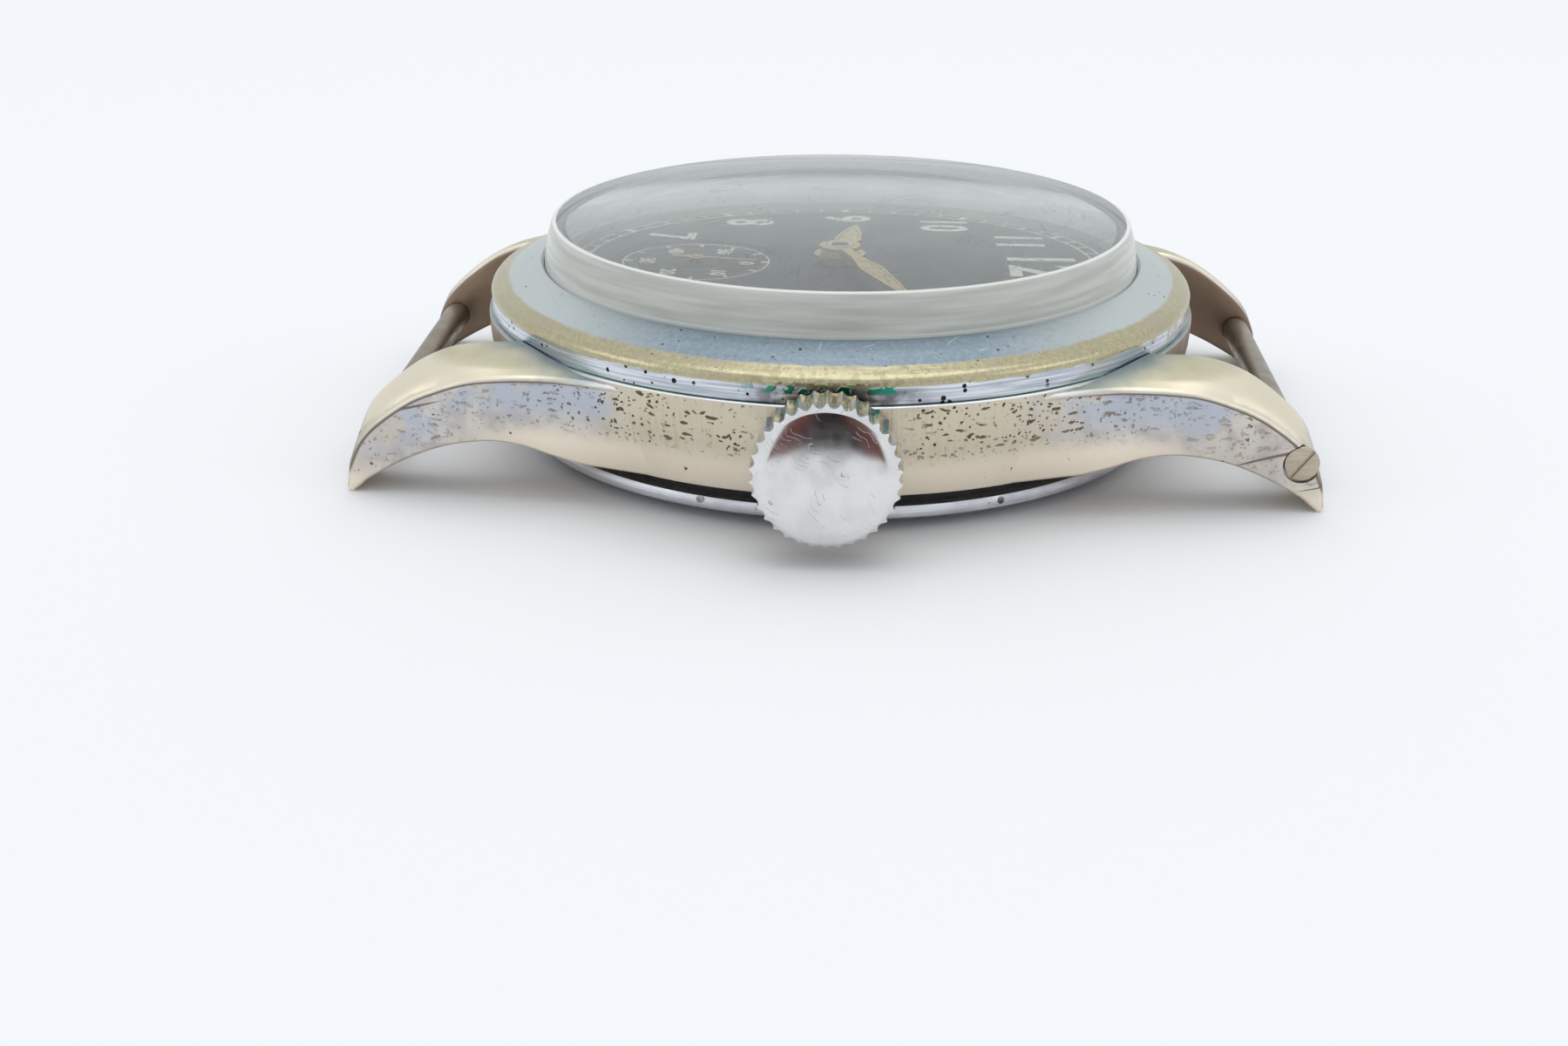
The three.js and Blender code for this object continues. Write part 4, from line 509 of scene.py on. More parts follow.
# %% One section of the lug
def lug_section(top_back, top_z, low_back, low_z, flare, tilt, crown):
    """One ring of points round the lug, from its lower outer corner up and over."""
    top, low = (LUG_REACH - top_back, top_z), (LUG_REACH - low_back, low_z)
    tall = math.dist(top, low)
    wide = LUG_OUTER + LUG_FLARE * flare - LUG_INNER
    r_top, r_low = min(TOP_ROUND, 0.45 * tall), min(LOW_ROUND, 0.3 * tall)

    def outside(y, z):
        straight = LUG_OUTER + LUG_FLARE * flare
        round_part = math.sqrt(max(flank_radius(z) ** 2 - y * y, 0.0)) - 0.03
        blend = max(BLEND - abs(round_part - straight), 0.0) / BLEND
        return max(round_part, straight) + blend * blend * BLEND / 4 - 0.05 * max(0.0, 9.6 - y)

    def point(inward, share, from_inside=False):
        y = low[0] + (top[0] - low[0]) * share
        z = low[1] + (top[1] + tilt * from_inside - low[1]) * share
        x = LUG_INNER + inward if from_inside else outside(y, z) - inward
        return Vector((x, y, min(z, LUG_CEILING))) * MM

    def corner(radius, at_top, from_inside):
        steps = [(radius * (1 - math.cos(t * math.pi / 2)),
                  radius * (1 - math.sin(t * math.pi / 2))) for t in QUARTER]
        return [point(inward, (tall - down) / tall if at_top else down / tall, from_inside)
                for inward, down in steps]

    walls = [r_low / tall + (1 - (r_low + r_top) / tall) * s for s in WALL_SHARES]
    lift = [(s, tilt * (1 - s) + crown * math.sin(math.pi * s)) for s in TOP_SHARES]
    outer_x = outside(*top)
    over = [Vector((LUG_INNER + s * (outer_x - LUG_INNER), top[0],
                    min(top[1] + up, LUG_CEILING))) * MM for s, up in lift]
    return [*reversed(corner(r_low, False, False)),
            *[point(0.0, s) for s in walls], *corner(r_top, True, False), *over,
            *reversed(corner(r_top, True, True)), point(0.0, walls[2], True),
            point(0.0, walls[0], True), *corner(r_low, False, True),
            point(wide * 0.6, 0.0), point(wide * 0.3, 0.0)]


print("a section is rounded by", TOP_ROUND, "mm at its top")

# %% [markdown]
# The rings of points are then joined into a horn: the end face is extruded once for each ring,
# and every new corner is moved to its place on the ring.

# %% Pull the lug through its sections
def draw_out(name, rings):
    """Extrudes one end face through rings of equally many points."""
    start_clean()
    bpy.ops.mesh.primitive_circle_add(vertices=len(rings[0]), radius=MM, fill_type="NGON")
    piece = bpy.context.object
    piece.name = name
    bpy.ops.object.mode_set(mode="EDIT")
    mesh = bmesh.from_edit_mesh(piece.data)
    mesh.verts.ensure_lookup_table()
    current = list(mesh.verts)
    for vertex, place in zip(current, rings[0]):
        vertex.co = place
    for ring in rings[1:]:
        old = [vertex.co.copy() for vertex in current]
        bpy.ops.mesh.extrude_region_move()
        mesh = bmesh.from_edit_mesh(piece.data)
        free = [vertex for vertex in mesh.verts if vertex.select]
        current = []
        for place in old:
            nearest = min(free, key=lambda vertex: (vertex.co - place).length_squared)
            free.remove(nearest)
            current.append(nearest)
        for vertex, place in zip(current, ring):
            vertex.co = place
    bmesh.update_edit_mesh(piece.data)
    turn_faces_out()
    return settle(piece, name)


lug_rings = [lug_section(*row) for row in between(LUG_ROWS, LUG_STEPS)]
lug = draw_out("lug", lug_rings)
print("lug:", len(lug_rings), "sections of", len(lug_rings[0]), "points")

# %% [markdown]
# One lug makes four: it is first cut back where the movement, the bezel and the back need
# room, and then mirrored and joined to the band. A mirrored shape is inside out, so its faces
# are turned out again.

# %% Copy the lug to four corners and join them to the band
def disc(name, radius, low, high, sides=192):
    return turn(name, [(0, low), (radius, low), (radius, high), (0, high)], sides)


for cutter in (disc("movement_room", 14.6, -1, 8),
               disc("bezel_room", BEZEL_RADIUS + 0.03, 6.27, 9),
               disc("back_room", 15.9, -1, 1.88)):
    combine(lug, cutter, "DIFFERENCE")


def mirrored(piece, across_x, across_y):
    """A copy of a piece, mirrored across the middle planes, with its faces turned out again."""
    pick(piece)
    bpy.ops.object.duplicate()
    copy = bpy.context.object
    copy.scale = (-1 if across_x else 1, -1 if across_y else 1, 1)
    copy = settle(copy, piece.name + "_copy")
    bpy.ops.object.mode_set(mode="EDIT")
    turn_faces_out()
    bpy.ops.object.mode_set(mode="OBJECT")
    return copy


for across_x, across_y in ((True, False), (False, True), (True, True)):
    combine(band, mirrored(lug, across_x, across_y), "UNION")
combine(band, lug, "UNION")
mid_case_shell = band
print("mid_case_shell:", faces(mid_case_shell), "faces")

# %% [markdown]
# The holes are drilled last, as in the workshop: through one lug and blind into the other for
# each strap bar, with room for the bar's head, and one through the flank for the crown's tube.

# %% Bore the case for the strap bars and the crown's tube
BAR_AT, BAR_HEIGHT = LUG_REACH - 1.15, 2.3
BAR_BORE, HEAD_BORE, TUBE_BORE = 0.67, 0.87, 1.17
STEM_HEIGHT = 4.1


def turned_along_x(name, outline, place, sides=96, flip=False):
    """A turned piece laid along X: its heights become distances along X from the middle."""
    piece = turn(name, outline, sides)
    piece.rotation_euler = (0, math.radians(-90 if flip else 90), 0)
    piece.location = Vector(place) * MM
    return settle(piece, name)


for end in (1, -1):
    through = [(0, 8), (BAR_BORE, 8), (BAR_BORE, 11.6), (HEAD_BORE, 11.6), (HEAD_BORE, 14),
               (0, 14)]
    blind = [(0, 8), (BAR_BORE, 8), (BAR_BORE, 11.3), (0, 11.3)]
    for name, outline, flip in (("bar_bore", through, end < 0), ("blind_bore", blind, end > 0)):
        drill = turned_along_x(name, outline, (0, end * BAR_AT, BAR_HEIGHT), flip=flip)
        combine(mid_case_shell, drill, "DIFFERENCE")
tube_bore = turned_along_x("tube_bore", [(0, 12), (TUBE_BORE, 12), (TUBE_BORE, 18), (0, 18)],
                           (0, 0, STEM_HEIGHT))
combine(mid_case_shell, tube_bore, "DIFFERENCE")
pick(mid_case_shell)
bpy.ops.object.mode_set(mode="EDIT")
bpy.ops.mesh.select_all(action="SELECT")
bpy.ops.mesh.remove_doubles(threshold=2e-6)
bpy.ops.mesh.dissolve_degenerate(threshold=2e-6)
smooth(mid_case_shell, 34)
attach(mid_case_shell, "case")
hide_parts("mid_case")
print("mid_case_shell:", faces(mid_case_shell), "faces after boring")

# %% [markdown]
# ## The strap bars
# Each bar is a steel rod that screws through both lugs, with a slotted head let into one of
# them. A narrow groove round the head is what tells it from a rivet. It is turned lying along
# X, and a thin block cuts the slot at the odd angle where the screw happened to stop.

# %% Turn the two strap bars
SLOT_ANGLE = math.radians(-52)
SLOT_DEEP, SLOT_LONG, SLOT_WIDE = 0.3, 2.4, 0.17
HEAD_END = 11.9
for name, end in (("strap_bar_12", 1), ("strap_bar_6", -1)):
    bar = turned_along_x(name + "_rod", [
        (0, -11.18), (0.55, -11.18), (0.65, -11.08), (0.65, 11.63), (0.76, 11.66),
        (0.79, 11.7), (0.79, 11.8), (0.77, 11.85), (0.72, 11.87), (0, 11.87)],
        (0, end * BAR_AT, BAR_HEIGHT), sides=64, flip=end < 0)
    start_clean()
    bpy.ops.mesh.primitive_cube_add(size=1, location=Vector((end * HEAD_END, end * BAR_AT,
                                                             BAR_HEIGHT)) * MM)
    blade = bpy.context.object
    blade.scale = (SLOT_DEEP * MM, SLOT_LONG * MM, SLOT_WIDE * MM)
    blade.rotation_euler = (SLOT_ANGLE * -end, 0, 0)
    blade = settle(blade, "slot_blade")
    combine(bar, blade, "DIFFERENCE")
    soften_edges(bar, 0.02, 1)
    smooth(bar, 35)
    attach(bar, "case")
    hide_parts(name)
    print(bar.name, faces(bar), "faces")

# %% [markdown]
# ## The crown
# The winding crown is a steel button with scalloped flutes for the fingers. On the real one a
# cutter runs along the turned blank, flute after flute, and a last turning cut bevels their
# front ends, which leaves the row of small bright facets round the face. The same order works
# here: a fluted bar is extruded from one scalloped outline, and a turned blank keeps only
# what lies inside the bevels.

# %% Cut the crown's flutes
crown_low, crown_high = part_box("crown")
CROWN_BACK, CROWN_FACE, CROWN_RADIUS = crown_low.x / MM, crown_high.x / MM, crown_high.y / MM
FLUTES, PER_FLUTE, FLUTE_DEPTH = 34, 10, 0.19


def flat_plate(name, corners, low, high):
    """A flat outline in mm, filled, extruded to its thickness and turned out."""
    start_clean()
    bpy.ops.mesh.primitive_circle_add(vertices=len(corners), radius=MM, fill_type="NGON")
    piece = bpy.context.object
    bpy.ops.object.mode_set(mode="EDIT")
    flat = bmesh.from_edit_mesh(piece.data)
    flat.verts.ensure_lookup_table()
    for vertex, (x, y) in zip(flat.verts, corners):
        vertex.co = Vector((x, y, low)) * MM
    bmesh.update_edit_mesh(piece.data)
    bpy.ops.mesh.extrude_region_move(
        TRANSFORM_OT_translate={"value": (0, 0, (high - low) * MM)})
    turn_faces_out()
    return settle(piece, name)


def scallop(i):
    """Radius at point i of the outline: a narrow ridge, then a round-bottomed flute."""
    across = abs(2 * ((i % PER_FLUTE) / PER_FLUTE) - 1)
    return CROWN_RADIUS - FLUTE_DEPTH * (1 - min(1, across * 1.12) ** 2.4)


corner_turns = [2 * math.pi * i / (FLUTES * PER_FLUTE) for i in range(FLUTES * PER_FLUTE)]
crown_outline = [(math.cos(turned) * scallop(i), math.sin(turned) * scallop(i))
                 for i, turned in enumerate(corner_turns)]
crown_knob = flat_plate("crown_knob", crown_outline, CROWN_BACK - 0.5, CROWN_FACE + 0.5)

blank = turn("crown_blank", [
    (0, CROWN_BACK + 0.95), (1.4, CROWN_BACK + 0.95), (1.4, CROWN_BACK + 0.04),
    (CROWN_RADIUS - 0.42, CROWN_BACK), (CROWN_RADIUS + 0.02, CROWN_BACK + 0.3),
    (CROWN_RADIUS + 0.02, CROWN_FACE - 0.36), (CROWN_RADIUS - 0.3, CROWN_FACE - 0.1),
    (CROWN_RADIUS - 0.34, CROWN_FACE - 0.085), (2.4, CROWN_FACE - 0.035),
    (1.7, CROWN_FACE - 0.012), (0.8, CROWN_FACE - 0.002), (0, CROWN_FACE)], sides=240)
combine(crown_knob, blank, "INTERSECT")
crown_knob.rotation_euler = (0, math.radians(90), 0)
crown_knob.location = (0, 0, STEM_HEIGHT * MM)
crown_knob = settle(crown_knob, "crown_knob")
soften_edges(crown_knob, 0.018, 1, 24)
smooth(crown_knob, 22)
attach(crown_knob, "stem_and_crown")
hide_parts("crown")
print("crown_knob:", faces(crown_knob), "faces,", FLUTES, "flutes")

# %% [markdown]
# ## The dial
# A thin brass disc, painted matt black, with a shallow round well at six for the small
# seconds hand. It is a turned disc with the well cut out by a second, smaller turned disc. A
# few fine rings at the bottom of the well are left by the lathe under the paint.

# %% Turn the dial and its well
dial_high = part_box("dial")[1]
DIAL_RADIUS, DIAL_FACE = dial_high.x / MM, dial_high.z / MM
WELL_AT, WELL_RADIUS, WELL_DEPTH = -7.0, 4.1, 0.09
dial_plate = turn("dial_plate", [
    (1.0, DIAL_FACE - 0.38), (DIAL_RADIUS - 0.05, DIAL_FACE - 0.38),
    (DIAL_RADIUS, DIAL_FACE - 0.33), (DIAL_RADIUS, DIAL_FACE - 0.04),
    (DIAL_RADIUS - 0.04, DIAL_FACE), (1.04, DIAL_FACE), (1.0, DIAL_FACE - 0.04)], sides=192)


def cut_at_well(cutter):
    """Takes a cutter that was turned at the centre out of the dial at the small seconds."""
    cutter.location.y = WELL_AT * MM
    combine(dial_plate, settle(cutter, cutter.name), "DIFFERENCE")


cut_at_well(turn("well_cutter", [
    (0, DIAL_FACE - WELL_DEPTH), (WELL_RADIUS - 0.06, DIAL_FACE - WELL_DEPTH),
    (WELL_RADIUS, DIAL_FACE - WELL_DEPTH + 0.05), (WELL_RADIUS + 0.03, DIAL_FACE + 0.1),
    (0, DIAL_FACE + 0.1)], sides=128))
GROOVE_FLOOR = DIAL_FACE - WELL_DEPTH - 0.02
for ring in (1.2, 2.0, 2.8):
    cut_at_well(turn("lathe_ring", [(ring, GROOVE_FLOOR), (ring + 0.06, GROOVE_FLOOR),
                                    (ring + 0.08, DIAL_FACE), (ring - 0.02, DIAL_FACE)],
                     sides=96))
cut_at_well(disc("pinhole", 0.35, DIAL_FACE - 1, DIAL_FACE + 1, 32))
smooth(dial_plate, 30)
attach(dial_plate, "case")
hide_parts("dial")
print("dial_plate:", faces(dial_plate), "faces")

# %% [markdown]
# ## Numerals and tracks
# The hour numerals, the railway track of minutes and the small seconds track are thick
# printed paint that stands a few hundredths of a millimetre proud. Plain figures are set as
# text, given that thickness and turned into a mesh. One tick is modelled and copied round.
# The name and the property mark that such dials carry are left bare.

# %% Print the numerals and the tracks
PAINT, SUNK = 0.025, 0.01
TWELVE_AT, TWELVE_SIZE, NUMERAL_AT, NUMERAL_SIZE = 9.6, 4.6, 10.2, 3.4
OUTER_RAIL, INNER_RAIL, TICKS_AT = 12.95, 12.3, 12.62
WELL_FLOOR = DIAL_FACE - WELL_DEPTH
prints = []


def on_dial(radius, angle, height, centre_y):
    """A place in the middle of the paint; the angle is counted clockwise from twelve."""
    turned = math.radians(90 - angle)
    return Vector((radius * math.cos(turned), centre_y + radius * math.sin(turned),
                   height + PAINT / 2 - SUNK / 2)) * MM


def ring_line(name, radius, width, height, centre_y=0.0, sides=192):
    inner, outer = radius - width / 2, radius + width / 2
    line = turn(name, [(inner, height - SUNK), (outer, height - SUNK),
                       (outer, height + PAINT), (inner, height + PAINT)], sides)
    line.location.y = centre_y * MM
    prints.append(settle(line, name))


def tick(name, radius, angle, long, wide, height, centre_y=0.0):
    """A thin bar that points at the centre."""
    start_clean()
    bpy.ops.mesh.primitive_cube_add(size=1, location=on_dial(radius, angle, height, centre_y))
    bar = bpy.context.object
    bar.scale = (long * MM, wide * MM, (PAINT + SUNK) * MM)
    bar.rotation_euler = (0, 0, math.radians(90 - angle))
    prints.append(settle(bar, name))


def figure(text, radius, angle, size, height, centre_y=0.0):
    """Plain figures, upright on the dial, as a thin mesh of paint."""
    start_clean()
    bpy.ops.object.text_add(location=(0, 0, 0))
    words = bpy.context.object
    words.data.body = text
    words.data.align_x, words.data.align_y = "CENTER", "CENTER"
    words.data.size = size * MM
    words.data.offset = 0.018 * size * MM
    words.data.extrude = PAINT / 2 * MM
    words.data.resolution_u = 4
    bpy.ops.object.convert(target="MESH")
    words = bpy.context.object
    words.location = on_dial(radius, angle, height, centre_y)
    prints.append(settle(words, "figure"))


for hour in range(1, 13):
    if hour != 6:
        at, size = (TWELVE_AT, TWELVE_SIZE) if hour == 12 else (NUMERAL_AT, NUMERAL_SIZE)
        figure(str(hour), at, hour * 30, size, DIAL_FACE)
ring_line("outer_rail", OUTER_RAIL, 0.09, DIAL_FACE)
ring_line("inner_rail", INNER_RAIL, 0.09, DIAL_FACE)
for minute in range(60):
    tick("tick", TICKS_AT, minute * 6, 0.65, 0.11 if minute % 5 else 0.34, DIAL_FACE)
ring_line("seconds_rail", 3.55, 0.06, WELL_FLOOR, WELL_AT, 128)
for second in range(0, 60, 5):
    tick("seconds_tick", 3.32, second * 6, 0.45, 0.12 if second % 15 else 0.2, WELL_FLOOR,
         WELL_AT)
for second in (10, 20, 30, 40, 50, 60):
    figure(str(second), 2.42, second * 6, 1.05, WELL_FLOOR, WELL_AT)
start_clean()
for mark in prints:
    mark.select_set(True)
bpy.context.view_layer.objects.active = prints[0]
bpy.ops.object.join()
dial_printing = settle(bpy.context.object, "dial_printing")
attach(dial_printing, "case")
print("dial_printing:", faces(dial_printing), "faces from", len(prints), "marks")

# %% [markdown]
# ## The hands
# Each hand is a stamped frame of thin gilt brass that holds a filling of luminous paint. The
# blade is drawn as a flat outline along X and extruded to its thickness. Insetting its top
# face marks the window for the paint, which is pushed down a little and stands as a piece
# of its own, and the hand is then turned to the time that it shows.

# %% Stamp the three hands
HOUR_ANGLE, MINUTE_ANGLE, SECONDS_ANGLE = 174, 20, 80


def hand(name, body, outline, hub, bore, window, centre_y, angle):
    """A hand from the half outline of its blade, with a window cut for the paint."""
    low, high = [corner.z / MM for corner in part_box(name)]
    corners = outline + [(x, -y) for x, y in reversed(outline) if y > 0]
    frame_piece = flat_plate(name + "_frame", corners, low, high)
    boss = turn("boss", [(bore, low), (hub, low), (hub, high), (bore, high)], 64)
    combine(frame_piece, disc("boss_room", hub - 0.001, low - 1, high + 1, 64), "DIFFERENCE")
    combine(frame_piece, boss, "UNION")
    pieces = [frame_piece]
    if window:
        opening = window + [(x, -y) for x, y in reversed(window) if y > 0]
        combine(frame_piece, flat_plate("opening", opening, low + 0.04, high + 1), "DIFFERENCE")
        filling = flat_plate(name + "_lume", [(x, y * 0.97) for x, y in opening],
                             low + 0.045, high - 0.015)
        soften_edges(filling, 0.03, 2)
        pieces.append(filling)
    soften_edges(frame_piece, 0.012, 1)
    for piece in pieces:
        piece.rotation_euler = (0, 0, math.radians(angle))
        piece.location = (0, centre_y * MM, 0)
        settle(piece, piece.name)
        smooth(piece, 30)
        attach(piece, body)
    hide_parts(name)
    return pieces


hour_blade = [(0.0, 0.28), (1.6, 0.28), (2.2, 0.42), (2.9, 0.68), (4.6, 0.5), (5.7, 0.24),
              (6.5, 0.0)]
hour_window = [(2.15, 0.2), (2.9, 0.5), (4.6, 0.33), (5.7, 0.0)]
minute_blade = [(0.0, 0.24), (2.4, 0.24), (3.4, 0.36), (4.4, 0.56), (7.4, 0.38), (9.2, 0.16),
                (10.5, 0.0)]
minute_window = [(3.3, 0.16), (4.4, 0.4), (7.4, 0.24), (9.4, 0.0)]
seconds_blade = [(-1.2, 0.14), (0.0, 0.11), (3.1, 0.045), (3.15, 0.0)]
hand_pieces = [
    *hand("hour_hand", "hour_wheel", hour_blade, 1.24, 0.95, hour_window, 0, HOUR_ANGLE),
    *hand("minute_hand", "centre_wheel", minute_blade, 1.0, 0.62, minute_window, 0,
          MINUTE_ANGLE),
    *hand("seconds_hand", "fourth_wheel", seconds_blade, 0.38, 0.22, None, WELL_AT,
          SECONDS_ANGLE)]
print("hands:", sum(faces(piece) for piece in hand_pieces), "faces")

# %% [markdown]
# ## Reading a place on the metal
# Wear follows the object: pits gather where the hand rubs, and plating survives where nothing
# touches. So every finish first reads where a point is, in millimetres: its height, how far it
# is from the centre line, and how far round. Stains, pits and scratches are then masks from
# zero to one, and each coat of colour is laid over the last one where its mask is one.

# %% Masks for wear
def new_material(name):
    material = bpy.data.materials.new(name)
    material.use_nodes = True
    return material, material.node_tree, material.node_tree.nodes["Principled BSDF"]


def read_place(tree):
    """Sockets for the place in mm, its x, y and z, the distance from the centre, and round."""
    here = add_node(tree, "ShaderNodeTexCoord").outputs["Object"]
    place = add_node(tree, "ShaderNodeVectorMath", {0: here, "Scale": 1 / MM},
                     operation="SCALE").outputs[0]
    x, y, z = add_node(tree, "ShaderNodeSeparateXYZ", {0: place}).outputs
    flat = add_node(tree, "ShaderNodeCombineXYZ", {"X": x, "Y": y}).outputs[0]
    away = add_node(tree, "ShaderNodeVectorMath", {0: flat}, operation="LENGTH").outputs["Value"]
    turned = add_node(tree, "ShaderNodeMath", {0: y, 1: x}, operation="ARCTAN2").outputs[0]
    around = add_node(tree, "ShaderNodeMath", {0: turned, 1: 17.0}, operation="MULTIPLY")
    return {"place": place, "x": x, "y": y, "z": z, "away": away, "around": around.outputs[0]}


def ramp(tree, value, start, end, low=0.0, high=1.0):
    """Goes smoothly from low to high while the value goes from start to end."""
    return add_node(tree, "ShaderNodeMapRange",
                    {"Value": value, "From Min": start, "From Max": end, "To Min": low,
                     "To Max": high}, interpolation_type="SMOOTHSTEP").outputs[0]


def overlap(tree, *masks):
    """The common part of several masks."""
    result = masks[0]
    for mask in masks[1:]:
        result = add_node(tree, "ShaderNodeMath", {0: result, 1: mask},
                          operation="MULTIPLY").outputs[0]
    return result


def stretched(tree, read, along, up, out=0.0):
    """A place on the unrolled flank, scaled so that a pattern gets longer one way."""
    parts = [add_node(tree, "ShaderNodeMath", {0: read[key], 1: factor},
                      operation="MULTIPLY").outputs[0]
             for key, factor in (("around", along), ("z", up), ("away", out))]
    return add_node(tree, "ShaderNodeCombineXYZ", dict(enumerate(parts))).outputs[0]


print("a place is read in mm, with", 1 / MM, "to the metre")

# %% [markdown]
# Two patterns make most wear. A cloud gives stains and tone, and stretched places make it into
# brushing. Pits are the cells of a Voronoi pattern, of which only some hold a spot.

# %% Patterns, coats and relief
def cloud(tree, place, size, low, high, detail=4.0):
    """Soft patches about a size in mm, one where the noise is above high."""
    noise = add_node(tree, "ShaderNodeTexNoise", {"Vector": place, "Scale": 1 / size,
                                                  "Detail": detail})
    return ramp(tree, noise.outputs[0], low, high)


def pits(tree, place, spacing, size, share):
    """Round spots of uneven size; only a share of the cells holds one."""
    cells = add_node(tree, "ShaderNodeTexVoronoi", {"Vector": place, "Scale": 1 / spacing})
    hue = add_node(tree, "ShaderNodeSeparateXYZ", {0: cells.outputs["Color"]}).outputs
    reach = add_node(tree, "ShaderNodeMath", {0: hue[1], 1: size}, operation="MULTIPLY")
    inside = add_node(tree, "ShaderNodeMath", {0: reach.outputs[0], 1: cells.outputs["Distance"]},
                      operation="SUBTRACT")
    kept = ramp(tree, hue[0], 1 - share - 0.01, 1 - share)
    return overlap(tree, ramp(tree, inside.outputs[0], 0.0, 0.06), kept)


def coats(tree, base, *layers):
    """Colours laid over a base, each where its mask is one."""
    for mask, paint in layers:
        paint = colour(paint) if isinstance(paint, str) else paint
        mixed = add_node(tree, "ShaderNodeMix", {0: mask, 6: base, 7: paint}, data_type="RGBA")
        base = mixed.outputs[2]
    return base


def add_share(tree, base, value, share):
    """The base with a share of a value added."""
    return add_node(tree, "ShaderNodeMath", {0: value, 1: share, 2: base},
                    operation="MULTIPLY_ADD").outputs[0]


def dress(tree, shader, base, roughness, metallic=0.0):
    """Gives the shader its colour and roughness, and says whether it is a metal."""
    tree.links.new(base, shader.inputs["Base Color"])
    tree.links.new(roughness, shader.inputs["Roughness"])
    shader.inputs["Metallic"].default_value = metallic


def relief(tree, shader, *depths):
    """Bump from masks, each with its height in mm."""
    total = 0.0
    for mask, depth in depths:
        total = add_share(tree, total, mask, depth)
    bump = add_node(tree, "ShaderNodeBump", {"Height": total, "Strength": 1.0, "Distance": MM})
    tree.links.new(bump.outputs[0], shader.inputs["Normal"])


def coat_piece(piece, material):
    piece.data.materials.clear()
    piece.data.materials.append(material)


# %% [markdown]
# ## The case's worn plating
# The case is forged brass under a thin nickel plate, brushed upright on its flank. Decades of
# wear leave three things for the eye: warm brass where the plate is gone, lilac plate where it
# survives on the lugs, and brown pits and short strokes round the crown. The lugs' inner faces,
# towards the strap, are painted brown. The sheltered shoulder under the bezel has gone a dull
# blue-green grey. The rounded edges along the tops carry painted highlights, and the low part
# of the sides is painted paler, a painted reflection of the table over a real pinkish tone. Real
# brushing is about 0.03 mm apart and wouldn't show, so it is drawn at 0.14 mm, and the pits,
# 0.05 mm and up in life, are drawn from about 0.1 mm.

# %% Worn nickel over brushed brass
plated, tree, shader = new_material("worn_nickel_over_brushed_brass")
read = read_place(tree)
side = add_node(tree, "ShaderNodeMath", {0: read["y"]}, operation="ABSOLUTE").outputs[0]
width_way = add_node(tree, "ShaderNodeMath", {0: read["x"]}, operation="ABSOLUTE").outputs[0]
facing = add_node(tree, "ShaderNodeNewGeometry").outputs["Normal"]
facing_up = add_node(tree, "ShaderNodeSeparateXYZ", {0: facing}).outputs["Z"]
on_top = ramp(tree, facing_up, 0.35, 0.7)
on_side = ramp(tree, facing_up, 0.35, 0.2)

brush_lines = cloud(tree, stretched(tree, read, 1.0, 0.05), 0.14, 0.35, 0.65, detail=3.0)
tone = cloud(tree, stretched(tree, read, 1.0, 0.4), 2.6, 0.3, 0.7)
on_lug = ramp(tree, side, 8.0, 11.5)
speckle = add_node(tree, "ShaderNodeTexNoise", {"Vector": read["place"], "Scale": 5.5,
                                                "Detail": 3.0}).outputs[0]
patches = add_node(tree, "ShaderNodeTexNoise", {"Vector": read["place"], "Scale": 0.36,
                                                "Detail": 3.0}).outputs[0]
broken = add_share(tree, patches, speckle, 0.3)
lug_foot = ramp(tree, side, 13.0, 21.6, 3.0, 0.4)
over_foot = add_node(tree, "ShaderNodeMath", {0: read["z"], 1: lug_foot},
                     operation="SUBTRACT").outputs[0]
plate_mask = overlap(tree, ramp(tree, broken, 0.56, 0.7), ramp(tree, over_foot, 0.5, 2.2),
                     ramp(tree, side, 7.5, 10.5), on_side)
# Paler low on the sides: a real pinkish tone, painted lighter as a painted reflection of the
# table.
pink_low_band_and_painted_reflection = overlap(tree, ramp(tree, over_foot, 1.2, 0.0), on_side)
rosy_foot_and_painted_reflection = ramp(tree, read["z"], 2.9, 2.1)
rub_zone = overlap(tree, ramp(tree, side, 15.0, 9.0, 0.35, 1.0), ramp(tree, side, 2.6, 4.0),
                   ramp(tree, over_foot, 0.2, 1.4), ramp(tree, read["x"], 0.0, 6.0), on_side)
crowd = overlap(tree, cloud(tree, read["place"], 1.9, 0.36, 0.5), rub_zone)
ragged = add_node(tree, "ShaderNodeTexNoise", {"Vector": read["place"], "Scale": 4.0,
                                               "Detail": 2.0}).outputs["Color"]
ragged_place = add_node(tree, "ShaderNodeVectorMath", {0: ragged, 1: (0.22, 0.3, 0.22),
                                                       2: read["place"]},
                        operation="MULTIPLY_ADD").outputs[0]
fine_pits = overlap(tree, pits(tree, ragged_place, 0.18, 0.5, 0.75), crowd)
coarse_pits = overlap(tree, pits(tree, ragged_place, 0.5, 0.22, 0.4), on_side,
                      cloud(tree, read["place"], 2.4, 0.42, 0.54), ramp(tree, side, 2.6, 4.0))
stroke_place = add_node(tree, "ShaderNodeVectorMath", {0: read["place"], 1: (1.0, 0.36, 1.4)},
                        operation="MULTIPLY").outputs[0]
wander = add_node(tree, "ShaderNodeTexNoise", {"Vector": read["place"], "Scale": 1.6,
                                               "Detail": 2.0}, noise_dimensions="3D")
stroke_bent = add_node(tree, "ShaderNodeVectorMath", {0: wander.outputs["Color"],
                                                      1: (0.3, 0.3, 0.7), 2: stroke_place},
                       operation="MULTIPLY_ADD").outputs[0]
strokes = overlap(tree, pits(tree, stroke_bent, 0.28, 0.5, 0.65),
                  cloud(tree, read["place"], 1.3, 0.38, 0.5), rub_zone)
tipped = add_node(tree, "ShaderNodeVectorRotate", {0: stretched(tree, read, 1.0, 1.0),
                                                   "Angle": math.radians(-28)},
                  rotation_type="Z_AXIS").outputs[0]
gouge_place = add_node(tree, "ShaderNodeVectorMath", {0: tipped, 1: (0.16, 4.2, 1.0)},
                       operation="MULTIPLY").outputs[0]
